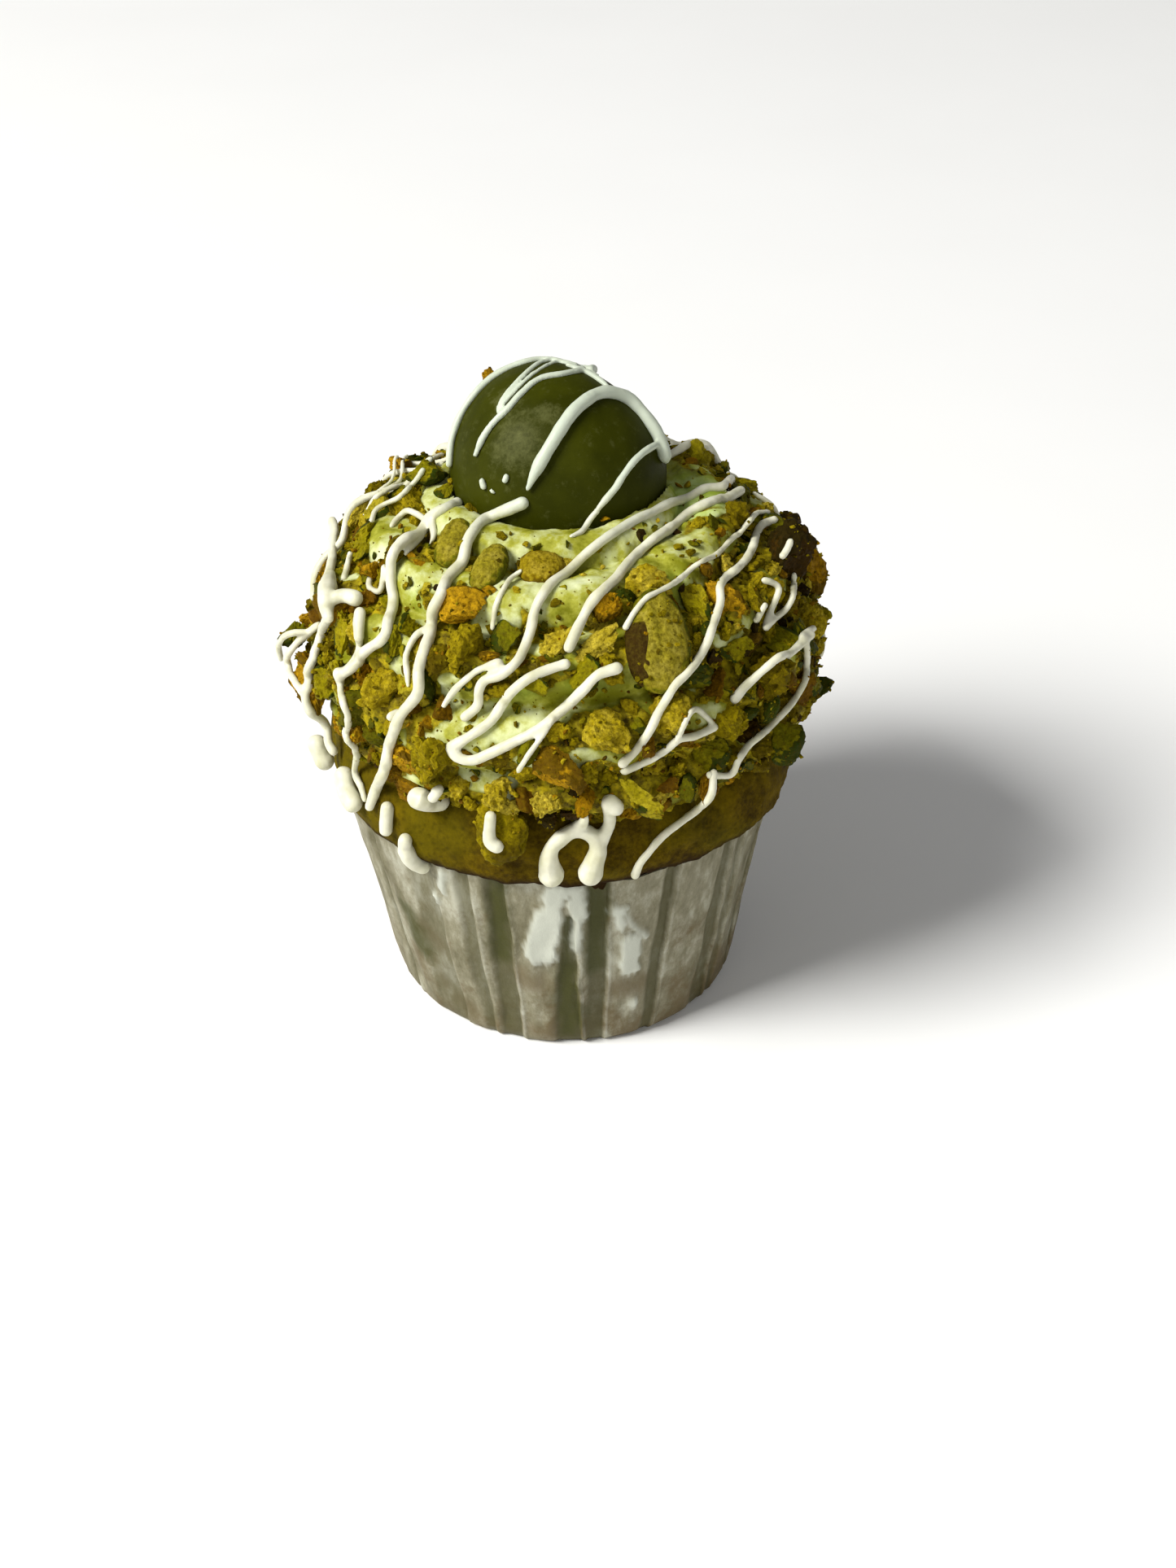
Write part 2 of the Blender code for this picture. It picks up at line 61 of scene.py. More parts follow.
EYE = Vector((3.507, -292.820, 228.220))
log = logging.getLogger("cupcake")

# Kinds of shader node.
MATH = "ShaderNodeMath"
MIX = "ShaderNodeMix"
MAP_RANGE = "ShaderNodeMapRange"
NOISE = "ShaderNodeTexNoise"
VORONOI = "ShaderNodeTexVoronoi"
COLOUR_RAMP = "ShaderNodeValToRGB"
ATTRIBUTE = "ShaderNodeAttribute"
BUMP = "ShaderNodeBump"
SEPARATE = "ShaderNodeSeparateXYZ"
RGBA = {"data_type": "RGBA"}

Spot = tuple[float, float]


class Nut(Enum):
    """Kinds of chopped nut on the mound, by the name of their piece."""

    CHIP = "pistachio_chips"
    CRUMB = "golden_crumbs"
    TOASTED = "toasted_bits"
    SKIN = "dark_skins"


def linear(code: str) -> tuple[float, float, float, float]:
    """Turn an sRGB hex value into a linear colour.

    Args:
        code: Six hex digits.

    Returns:
        Red, green, blue and alpha.
    """
    parts = [int(code[i:i + 2], 16) / 255.0 for i in (0, 2, 4)]
    red, green, blue = (c / 12.92 if c <= 0.04045 else ((c + 0.055) / 1.055) ** 2.4 for c in parts)
    return red, green, blue, 1.0


def per_mm(size: float) -> float:
    """Scale of a pattern whose grains are a size in millimetres."""
    return 1.0 / (size * MM)


def plug(node: bpy.types.Node, inputs: dict) -> None:
    """Give a node's input sockets their values and links.

    Args:
        node: The node.
        inputs: For each socket a value, an output socket, or a node for its first output.
    """
    for key, value in inputs.items():
        source = value.outputs[0] if isinstance(value, bpy.types.Node) else value
        if isinstance(source, bpy.types.NodeSocket):
            node.id_data.links.new(source, node.inputs[key])
        else:
            node.inputs[key].default_value = source


def add_node(tree: bpy.types.NodeTree, kind: str, settings: dict | None = None,
             inputs: dict | None = None, stops: Sequence[tuple[float, str]] = ()) -> bpy.types.Node:
    """Add a node with its settings, its links and, on a ramp, its colour stops.

    Args:
        tree: The material's node tree.
        kind: The node's type name.
        settings: Properties to set.
        inputs: Values, output sockets or nodes for its input sockets.
        stops: Position and hex colour of each stop of a colour ramp.

    Returns:
        The new node.
    """
    made = tree.nodes.new(kind)
    for name, value in (settings or {}).items():
        setattr(made, name, value)
    plug(made, inputs or {})
    for number, (place, code) in enumerate(stops):
        held = made.color_ramp.elements
        stop = held[number] if number < 2 else held.new(place)
        stop.position = place
        stop.color = linear(code)
    return made


def start_material(
        name: str, **sockets: object) -> tuple[bpy.types.Material, bpy.types.Node, bpy.types.NodeSocket]:
    """Start a material with a Principled shader.

    Args:
        name: What the real material is called.
        sockets: Even values for the shader's own sockets, with _ for a space.

    Returns:
        The material, its shader and the object coordinates.
    """
    made = bpy.data.materials.new(name)
    made.use_nodes = True
    shader = made.node_tree.nodes["Principled BSDF"]
    for key, value in sockets.items():
        shader.inputs[key.replace("_", " ")].default_value = value
    place = made.node_tree.nodes.new("ShaderNodeTexCoord").outputs["Object"]
    return made, shader, place


@contextmanager
def editing(thing: bpy.types.Object) -> Iterator[None]:
    """Open one piece in edit mode with nothing else selected.

    Args:
        thing: The piece.
    """
    make_active(thing)
    bpy.ops.object.mode_set(mode="EDIT")
    try:
        yield
    finally:
        bpy.ops.object.mode_set(mode="OBJECT")


def make_active(thing: bpy.types.Object) -> None:
    """Select one object only and make it the active one.

    Args:
        thing: The object.
    """
    bpy.ops.object.select_all(action="DESELECT")
    thing.select_set(True)
    bpy.context.view_layer.objects.active = thing


def finish_modifier(thing: bpy.types.Object, kind: str, **settings: object) -> None:
    """Add a modifier to a piece and apply it.

    Args:
        thing: The piece.
        kind: The modifier's type.
        settings: Its settings.
    """
    tool = thing.modifiers.new(kind.lower(), kind)
    for name, value in settings.items():
        setattr(tool, name, value)
    make_active(thing)
    bpy.ops.object.modifier_apply(modifier=tool.name)


def displace(thing: bpy.types.Object, size: float, strength: float, group: str = "") -> None:
    """Raise and lower a surface by cloudy noise, then apply it.

    Args:
        thing: The piece, in millimetres.
        size: Size of the noise's grains.
        strength: Height from the lowest to the highest point.
        group: Vertex group that it is limited to.
    """
    clouds = bpy.data.textures.new(f"{thing.name}_relief", "CLOUDS")
    clouds.noise_scale = size
    clouds.noise_depth = 2
    finish_modifier(thing, "DISPLACE", texture=clouds, strength=strength, mid_level=0.5,
                    texture_coords="LOCAL", vertex_group=group)


def roughen(thing: bpy.types.Object, layers: Sequence[Spot], group: str = "") -> None:
    """Displace a piece by several sizes of noise, one after the other.

    Args:
        thing: The piece, in millimetres.
        layers: Size and strength of each noise.
        group: Vertex group that they are limited to.
    """
    for size, strength in layers:
        displace(thing, size, strength, group)


def ramp(value: float, start: float, end: float) -> float:
    """How far a value has gone from a start to an end, eased, from 0 to 1."""
    share = max(0.0, min(1.0, (value - start) / (end - start)))
    return share * share * (3.0 - 2.0 * share)


def mark(thing: bpy.types.Object, name: str, values: Sequence[float]) -> None:
    """Keep one number for each point of a piece, for its material to read."""
    shade = thing.data.attributes.new(name, "FLOAT", "POINT")
    shade.data.foreach_set("value", np.asarray(values, dtype=np.float32))


def reshape(thing: bpy.types.Object, rule: Callable[[Vector], Vector]) -> None:
    """Move every point of a piece by a rule.

    Args:
        thing: The piece.
        rule: Gives a point's new place from its old one.
    """
    for vert in thing.data.vertices:
        vert.co = rule(vert.co)
    thing.data.update()


def finish_piece(thing: bpy.types.Object, name: str, finish: bpy.types.Material,
                 replaces: Iterable[str] = (), crease: float = 40.0) -> bpy.types.Object:
    """Settle a finished piece: metres, name, finish, shading and its place in the frame.

    Args:
        thing: The piece, in millimetres.
        name: The piece's name.
        finish: Its material.
        replaces: CAD nodes that it stands for.
        crease: Edges sharper than this many degrees stay sharp.

    Returns:
        The same piece.
    """
    thing.data.transform(Matrix.Scale(MM, 4) @ thing.matrix_world)
    thing.matrix_world = Matrix.Identity(4)
    thing.name = name
    thing.data.name = name
    thing.data.materials.clear()
    thing.data.materials.append(finish)
    make_active(thing)
    bpy.ops.object.shade_smooth_by_angle(angle=math.radians(crease))
    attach(thing, "root")
    for node in replaces:
        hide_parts(node)
    triangles = sum(len(face.vertices) - 2 for face in thing.data.polygons)
    log.info("%s: %d triangles", name, triangles)
    return thing


def unit(azimuth: float, elevation: float) -> Vector:
    """Direction of an azimuth and an elevation in degrees."""
    a, e = math.radians(azimuth), math.radians(elevation)
    return Vector((math.cos(e) * math.cos(a), math.cos(e) * math.sin(a), math.sin(e)))


def angles(direction: Vector) -> Spot:
    """Azimuth and elevation, in degrees, of a direction."""
    flat = math.hypot(direction.x, direction.y)
    return math.degrees(math.atan2(direction.y, direction.x)), math.degrees(math.atan2(direction.z, flat))


@dataclass(frozen=True)
class BallShape:
    """The chocolate ball: nearly round, flat on its right shoulder and full on its left."""

    centre: Vector = Vector((-0.5, 4.0, 79.9))
    radius: float = 15.2
    flat_side: Vector = Vector((0.616, 0.443, 0.652))
    flat: float = 0.115
    full_side: Vector = Vector((-0.707, 0.397, 0.585))
    full: float = 0.03

    def reach(self, direction: Vector) -> float:
        """Radius of the ball in a direction.

        Args:
            direction: Unit direction from its centre.

        Returns:
            Millimetres.
        """
        flat = math.exp(-((direction.angle(self.flat_side) / math.radians(36.0)) ** 2))
        full = math.exp(-((direction.angle(self.full_side) / math.radians(45.0)) ** 2))
        return self.radius * (1.0 - self.flat * flat + self.full * full)

    def point(self, azimuth: float, elevation: float) -> Vector:
        """A point on the ball, seen from its own centre."""
        direction = unit(azimuth, elevation)
        return self.centre + direction * self.reach(direction)


@dataclass(frozen=True)
class FoodShape:
    """The outer form of the cake's lip and the piped mound, seen from the mound's middle."""

    centre: Vector = Vector((0.0, 0.0, 51.0))
    radius: float = 35.3
    height: float = 28.5
    power: float = 2.7
    depth: float = 7.5
    depth_power: float = 2.2
    swirl_pitch: float = 16.5
    swirl_depth: float = 1.3
    lip: tuple[Spot, ...] = ((30.4, 33.9), (32.6, 34.1), (33.5, 36.6), (33.8, 40.0), (33.2, 43.5),
                             (31.6, 46.2), (26.5, 49.6), (14.0, 52.5), (0.0, 53.2))

    def mound_reach(self, azimuth: float, elevation: float) -> float:
        """Distance of the piped mound from its middle, swirl ridges included.

        Args:
            azimuth: Degrees.
            elevation: Degrees.

        Returns:
            Millimetres.
        """
        e = math.radians(elevation)
        height, power = (self.height, self.power) if elevation >= 0 else (self.depth, self.depth_power)
        flat = (abs(math.cos(e)) / self.radius) ** power + (abs(math.sin(e)) / height) ** power
        turn = math.pi * (elevation / self.swirl_pitch - azimuth / 360.0)
        ridge = 2.0 * abs(math.cos(turn)) - 1.4
        fade = max(0.0, min(1.0, (elevation + 14.0) / 8.0, (74.0 - elevation) / 16.0))
        return flat ** (-1.0 / power) + self.swirl_depth * ridge * fade

    def lip_reach(self, elevation: float) -> float:
        """Distance of the cake's lip from the mound's middle, or zero above it.

        Args:
            elevation: Degrees.

        Returns:
            Millimetres.
        """
        slope = math.tan(math.radians(elevation))
        for (r0, z0), (r1, z1) in zip(self.lip[:-1], self.lip[1:]):
            side0 = z0 - self.centre.z - slope * r0
            side1 = z1 - self.centre.z - slope * r1
            if side0 * side1 <= 0.0 and z0 < self.centre.z and side0 != side1:
                share = side0 / (side0 - side1)
                return math.hypot(r0 + (r1 - r0) * share, z0 + (z1 - z0) * share - self.centre.z)
        return 0.0

    def point(self, azimuth: float, elevation: float, lift: float = 0.0) -> Vector:
        """A point on the mound or the lip, whichever is further out.

        Args:
            azimuth: Degrees.
            elevation: Degrees.
            lift: Millimetres above the surface.

        Returns:
            The point.
        """
        reach = self.mound_reach(azimuth, elevation)
        if elevation < 0.0:
            reach = max(reach, self.lip_reach(elevation))
        return self.centre + unit(azimuth, elevation) * (reach + lift)

    def placing(self, azimuth: float, elevation: float, lift: float, turn: float,
                reach: float = 3.0) -> Matrix:
        """Placement on the food: local Z outwards, local X turned from level.

        Args:
            azimuth: Degrees.
            elevation: Degrees.
            lift: Height above the surface.
            turn: Degrees from level.
            reach: Degrees over which the surface's slope is taken.

        Returns:
            The placement.
        """
        place = self.point(azimuth, elevation, lift)
        east = self.point(azimuth + reach, elevation) - self.point(azimuth - reach, elevation)
        north = self.point(azimuth, elevation + reach) - self.point(azimuth, elevation - reach)
        normal = east.cross(north).normalized()
        east = (east - normal * east.dot(normal)).normalized()
        basis = Matrix((east, normal.cross(east), normal)).transposed().to_4x4()
        return Matrix.Translation(place) @ basis @ Matrix.Rotation(math.radians(turn), 4, "Z")

    def bare(self, azimuth: float, elevation: float) -> float:
        """How bare of crumbs the cream is at a place, from 0 to 1.

        Args:
            azimuth: Degrees.
            elevation: Degrees.

        Returns:
            1 on clean cream and 0 where crumbs cover it.
        """
        warp = Vector((math.radians(azimuth) * 6.0, elevation * 0.12, 2.0))
        azimuth += 4.0 * noise.noise(warp)
        elevation += 2.5 * noise.noise(warp + Vector((0.0, 0.0, 9.0)))
        best = ramp(elevation, 50.0, 57.0)
        cloud = noise.noise(Vector((math.radians(azimuth) * 7.0, elevation * 0.15, 30.0)))
        best = max(best, ramp(cloud, 0.2, 0.36) * ramp(elevation, -12.0, -4.0))
        for spot_a, spot_e, wide, high in BARE_SPOTS:
            away = math.hypot((azimuth - spot_a) / wide, (elevation - spot_e) / high)
            best = max(best, ramp(away, 1.15, 0.8))
        return best

    def dome(self, radius: float) -> float:
        """Height of the cake's dome at a radius."""
        heights = [(r, z) for r, z in self.lip if z > 42.0][::-1]
        return float(np.interp(radius, [r for r, _ in heights], [z for _, z in heights]))


# Azimuth, elevation and half the extent each way, in degrees. A green spot has a strength too.
BARE_SPOTS = (
    (-131, 45.5, 10, 4.5), (-111, 45, 11, 7), (-107, 39, 7, 5), (-134, 35, 5, 4),
    (-111, 15, 5.5, 5), (-103, 18, 8, 5.5), (-95, 21, 8, 5), (-87, 24, 7, 4),
    (-108, 2.5, 7.5, 3.6), (-91, 46, 11, 6.5), (-80, 50, 14, 6), (-55, 51, 15, 7),
    (-36, 48, 12, 5.5), (-80, 36.5, 9, 2.2), (-79, 23.5, 8, 3.5), (-57.5, 15.5, 6, 3.4),
    (-160, 58, 24, 6), (-130, 22.5, 4, 5), (-124, -3, 4, 2.5), (-161, -2, 5, 3.5),
    (-139, 41, 6, 5), (-51, 42, 5, 6), (-114, 22, 5, 4), (-168, 45, 10, 6),
    (-160, 41, 6, 3), (-139, 28, 6, 4), (-133, 31, 4, 3.5), (-143, 60, 14, 7),
    (-116, 21, 4, 4), (-92, 33.5, 5, 2.6), (-111, 38, 5, 4), (-96, 9.5, 5, 2.4),
    (-74, 27, 5, 3), (6, 52, 14, 6), (-116, 13, 4, 3.5), (-62, 53, 12, 6),
)
# The first green spot, to the right of the ball, is a painted glow of light shining through the cream.
GREEN_SPOTS = ((4, 55, 30, 9, 0.6), (-52, 43, 6, 5, 0.2), (-133, 38, 8, 3, 0.2),
               (-107, 32, 6, 4, 0.2), (-84, 26, 7, 3, 0.2), (-99, 24, 5, 3, 0.2))
BALL = BallShape()
FOOD = FoodShape()


@dataclass(frozen=True)
class GreaseproofPaper:
    """Greaseproof baking paper, pleated by a press: matte and buttery in patches, with painted shade in its
    valleys and a painted highlight on its creases.
    """

    plain: str = "605b41"
    dull: str = "827d65"
    dry: str = "aaa895"
    browned: str = "5e4e2d"
    # valley is painted shade for the valleys between the pleats; edge is a painted highlight for the crease
    # where each pleat starts, on its side that faces the light.
    valley: str = "454220"
    edge: str = "cfcfc2"
    icing: str = "c3c6b8"
    soaked: str = "3a3b06"

    def make(self) -> bpy.types.Material:
        """Build the material.

        Returns:
            The material.
        """
        made, shader, place = start_material("greaseproof_paper", IOR=1.45, Specular_IOR_Level=0.25)
        tree = made.node_tree
        kept = {name: add_node(tree, ATTRIBUTE, {"attribute_name": name}).outputs["Fac"]
                for name in ("fold", "crease", "iced", "stain", "browned")}
        long = add_node(tree, "ShaderNodeMapping", inputs={"Vector": place, "Scale": (1.0, 1.0, 0.45)})
        clouds = add_node(tree, NOISE, inputs={
            "Vector": long, "Scale": per_mm(5.0), "Detail": 9.0, "Roughness": 0.72})
        paper = add_node(tree, COLOUR_RAMP, inputs={"Fac": clouds},
                         stops=((0.34, self.plain), (0.66, self.dry), (0.5, self.dull)))
        patches = add_node(tree, NOISE, inputs={
            "Vector": place, "Scale": per_mm(8.0), "Detail": 8.0, "Roughness": 0.7})
        height = add_node(tree, SEPARATE, inputs={0: place})
        low = add_node(tree, MAP_RANGE, inputs={
            "Value": height.outputs["Z"], "From Min": 30.0 * MM, "From Max": 4.0 * MM,
            "To Min": -0.14, "To Max": 0.06})
        soaked = add_node(tree, MATH, {"operation": "ADD"}, {0: patches, 1: low})
        wet = add_node(tree, MAP_RANGE, inputs={
            "Value": soaked, "From Min": 0.47, "From Max": 0.62, "To Max": 0.75})
        blotted = add_node(tree, MATH, {"operation": "MULTIPLY"}, {0: kept["browned"], 1: clouds})
        either = add_node(tree, MATH, {"operation": "MAXIMUM"}, {0: wet, 1: blotted})
        # Painted shade: the valley colour darkens the paper where the fold mark is low, in the valleys
        # between the pleats.
        pressed = add_node(tree, MAP_RANGE, inputs={
            "Value": kept["fold"], "From Min": 0.9, "From Max": 0.1, "To Max": 0.75})
        # Painted highlight: the edge colour whitens the crease where each pleat starts, which faces the
        # light.
        crease_highlight_streaks = add_node(tree, MATH, {"operation": "MULTIPLY"}, {0: kept["crease"], 1: clouds})
        painted_crease_highlight = add_node(tree, MAP_RANGE, inputs={
            "Value": crease_highlight_streaks, "From Min": 0.36, "From Max": 0.8, "To Max": 0.42})
        layers = ((either, self.browned), (pressed, self.valley), (painted_crease_highlight, self.edge),
                  (kept["stain"], self.soaked), (kept["iced"], self.icing))
        colour = paper
        for share, code in layers:
            colour = add_node(tree, MIX, RGBA, {0: share, 6: colour, 7: linear(code)}).outputs[2]
        sheen = add_node(tree, MAP_RANGE, inputs={"Value": kept["iced"], "To Min": 0.6, "To Max": 0.38})
        bump = add_node(tree, BUMP, inputs={"Height": patches, "Strength": 0.5, "Distance": 0.5 * MM})
        plug(shader, {"Base Color": colour, "Roughness": sheen, "Normal": bump})
        return made


@dataclass(frozen=True)
class BakedSponge:
    """Baked sponge cake: a dull, finely pored crust, browned most along the rim of the lip."""

    crust: str = "352702"
    pale: str = "675403"
    green: str = "5a5103"
    brown: str = "281903"
    pore: float = 0.9

    def make(self) -> bpy.types.Material:
        """Build the material.

        Returns:
            The material.
        """
        made, shader, place = start_material("baked_sponge", Roughness=0.8, IOR=1.4, Specular_IOR_Level=0.06)
        tree = made.node_tree
        blotch = add_node(tree, NOISE, inputs={
            "Vector": place, "Scale": per_mm(3.5), "Detail": 9.0, "Roughness": 0.76})
        crust = add_node(tree, COLOUR_RAMP, inputs={"Fac": blotch},
                         stops=((0.38, self.crust), (0.64, self.pale)))
        broad = add_node(tree, NOISE, inputs={"Vector": place, "Scale": per_mm(16.0), "Detail": 2.0})
        greener = add_node(tree, MAP_RANGE, inputs={
            "Value": broad, "From Min": 0.45, "From Max": 0.65, "To Max": 0.6})
        tinged = add_node(tree, MIX, RGBA, {0: greener, 6: crust, 7: linear(self.green)})
        warp = add_node(tree, MIX, {"data_type": "VECTOR"}, {
            0: 0.0012, 4: place, 5: blotch.outputs["Color"]})
        pores = add_node(tree, VORONOI, inputs={
            "Vector": warp.outputs[1], "Scale": per_mm(self.pore)})
        holes = add_node(tree, MAP_RANGE, inputs={
            "Value": pores.outputs["Distance"], "From Max": 0.5, "To Min": 0.5})
        shaded = add_node(tree, MIX, {"data_type": "RGBA", "blend_type": "MULTIPLY"}, {
            0: 0.55, 6: tinged.outputs[2], 7: holes})
        height = add_node(tree, SEPARATE, inputs={0: place})
        ragged = add_node(tree, MATH, {"operation": "MULTIPLY_ADD"}, {
            0: blotch, 1: 3.0 * MM, 2: height.outputs["Z"]})
        rim = add_node(tree, MAP_RANGE, inputs={
            "Value": ragged, "From Min": 38.2 * MM, "From Max": 36.4 * MM})
        browned = add_node(tree, MIX, RGBA, {0: rim, 6: shaded.outputs[2], 7: linear(self.brown)})
        fine = add_node(tree, NOISE, inputs={
            "Vector": place, "Scale": per_mm(0.9), "Detail": 6.0, "Roughness": 0.7})
        pitted = add_node(tree, MATH, {"operation": "ADD"}, {0: fine, 1: holes})
        bump = add_node(tree, BUMP, inputs={"Height": pitted, "Strength": 0.7, "Distance": 0.3 * MM})
        plug(shader, {"Base Color": browned.outputs[2], "Normal": bump})
        return made


@dataclass(frozen=True)
class PistachioCream:
    """Whipped pistachio cream, piped: pale green where it is bare, crusted with nut crumbs elsewhere."""

    deep: str = "77780e"
    plain: str = "9f9f36"
    pale: str = "c0c584"
    lit: str = "d9deb2"
    # Bright green, which to the right of the ball is a painted glow of light shining through the cream.
    green_tint_and_glow: str = "9fbe46"
    crumbs: tuple[tuple[float, str], ...] = (
        (0.32, "352b00"), (0.66, "b29c08"), (0.44, "685a00"), (0.55, "8d7f04"))

    def make(self) -> bpy.types.Material:
        """Build the material.

        Returns:
            The material.
        """
        made, shader, place = start_material(
            "pistachio_cream", IOR=1.45, Specular_IOR_Level=0.2, Subsurface_Weight=0.12,
            Subsurface_Radius=(1.0, 1.0, 0.6), Subsurface_Scale=1.0 * MM)
        tree = made.node_tree
        bare = add_node(tree, ATTRIBUTE, {"attribute_name": "bare"})
        clouds = add_node(tree, NOISE, inputs={
            "Vector": place, "Scale": per_mm(4.0), "Detail": 7.0, "Roughness": 0.62})
        broad = add_node(tree, NOISE, inputs={"Vector": place, "Scale": per_mm(13.0), "Detail": 3.0})
        drift = add_node(tree, MATH, {"operation": "MULTIPLY_ADD"}, {0: broad, 1: 0.7, 2: clouds})
        eased = add_node(tree, MATH, {"operation": "SUBTRACT"}, {0: drift, 1: 0.35})
        ripened = add_node(tree, COLOUR_RAMP, inputs={"Fac": eased}, stops=(
            (0.35, self.deep), (0.76, self.lit), (0.47, self.plain), (0.59, self.pale)))
        # The green mark mixes in a brighter green, which to the right of the ball is a painted glow of light
        # shining through the cream.
        green = add_node(tree, ATTRIBUTE, {"attribute_name": "green"})
        tone = add_node(tree, MIX, RGBA, {0: green.outputs["Fac"], 6: ripened, 7: linear(self.green_tint_and_glow)})
        grains = add_node(tree, NOISE, inputs={
            "Vector": place, "Scale": per_mm(1.5), "Detail": 6.0, "Roughness": 0.7})
        crust = add_node(tree, COLOUR_RAMP, inputs={"Fac": grains}, stops=self.crumbs)
        edge = add_node(tree, MATH, {"operation": "MULTIPLY_ADD"}, {
            0: grains, 1: 0.6, 2: bare.outputs["Fac"]})
        wiped = add_node(tree, MAP_RANGE, inputs={"Value": edge, "From Min": 0.66, "From Max": 0.8})
        stain = add_node(tree, MAP_RANGE, inputs={
            "Value": edge, "From Min": 1.28, "From Max": 0.8, "To Max": 0.8})
        stained = add_node(tree, MIX, RGBA, {0: stain, 6: tone.outputs[2], 7: linear(self.deep)})
        covered = add_node(tree, MIX, RGBA, {0: wiped, 6: crust, 7: stained.outputs[2]})
        rough = add_node(tree, MAP_RANGE, inputs={"Value": wiped, "To Min": 0.75, "To Max": 0.5})
        fine = add_node(tree, NOISE, inputs={
            "Vector": place, "Scale": per_mm(1.8), "Detail": 4.0, "Roughness": 0.55})
        bump = add_node(tree, BUMP, inputs={"Height": fine, "Strength": 0.35, "Distance": 0.5 * MM})
        plug(shader, {"Base Color": covered.outputs[2], "Roughness": rough, "Normal": bump})
        return made


@dataclass(frozen=True)
class GreenChocolate:
    """Moulded chocolate tinted with pistachio: a soft sheen, scuffs and a grey-green bloom, whose patches on
    the upper left also stand for a painted sheen where the light falls.
    """

    body: str = "2a2d00"
    light: str = "383b02"
    # Grey-green bloom, which on the upper left also stands for a painted sheen.
    bloom_and_sheen: str = "63653a"

    def make(self) -> bpy.types.Material:
        """Build the material.

        Returns:
            The material.
        """
        made, shader, place = start_material("green_chocolate", IOR=1.45, Specular_IOR_Level=0.06)
        tree = made.node_tree
        clouds = add_node(tree, NOISE, inputs={
            "Vector": place, "Scale": per_mm(7.0), "Detail": 6.0, "Roughness": 0.65})
        tone = add_node(tree, COLOUR_RAMP, inputs={"Fac": clouds},
                        stops=((0.35, self.body), (0.75, self.light)))
        scuffs = add_node(tree, NOISE, inputs={
            "Vector": place, "Scale": per_mm(1.6), "Detail": 9.0, "Roughness": 0.8})
        # The bloom mark also paints the sheen on the upper left, where the light falls.
        bloomy = add_node(tree, ATTRIBUTE, {"attribute_name": "bloom_and_sheen"})
        worn = add_node(tree, MATH, {"operation": "MULTIPLY_ADD"}, {
            0: bloomy.outputs["Fac"], 1: 0.22, 2: scuffs})
        mask = add_node(tree, MAP_RANGE, inputs={
            "Value": worn, "From Min": 0.55, "From Max": 0.9, "To Max": 0.8})
        bloomed = add_node(tree, MIX, RGBA, {0: mask, 6: tone, 7: linear(self.bloom_and_sheen)})
        rough = add_node(tree, MAP_RANGE, inputs={
            "Value": scuffs, "From Min": 0.35, "From Max": 0.7, "To Min": 0.45, "To Max": 0.62})
        bump = add_node(tree, BUMP, inputs={"Height": scuffs, "Strength": 0.25, "Distance": 0.12 * MM})
        plug(shader, {"Base Color": bloomed.outputs[2], "Roughness": rough, "Normal": bump})
        return made


@dataclass(frozen=True)
class WhiteChocolate:
    """White chocolate set from a drizzle: ivory and satin, and thinner and cooler on the ball."""

    body: str = "dddbc4"
    shade: str = "c3c1a0"
    thin: str = "bcc6b4"

    def make(self) -> bpy.types.Material:
        """Build the material.

        Returns:
            The material.
        """
        made, shader, place = start_material(
            "white_chocolate", Roughness=0.45, IOR=1.45, Specular_IOR_Level=0.4, Subsurface_Weight=0.15,
            Subsurface_Radius=(1.0, 0.85, 0.6), Subsurface_Scale=0.8 * MM)
        tree = made.node_tree
        clouds = add_node(tree, NOISE, inputs={"Vector": place, "Scale": per_mm(3.0), "Detail": 4.0})
        tone = add_node(tree, COLOUR_RAMP, inputs={"Fac": clouds},
                        stops=((0.3, self.shade), (0.6, self.body)))
        height = add_node(tree, SEPARATE, inputs={0: place})
        thin = add_node(tree, MAP_RANGE, inputs={
            "Value": height.outputs["Z"], "From Min": 78.0 * MM, "From Max": 84.0 * MM, "To Max": 0.85})
        cooled = add_node(tree, MIX, RGBA, {0: thin, 6: tone, 7: linear(self.thin)})
        bump = add_node(tree, BUMP, inputs={"Height": clouds, "Strength": 0.15, "Distance": 0.2 * MM})
        plug(shader, {"Base Color": cooled.outputs[2], "Normal": bump})
        return made


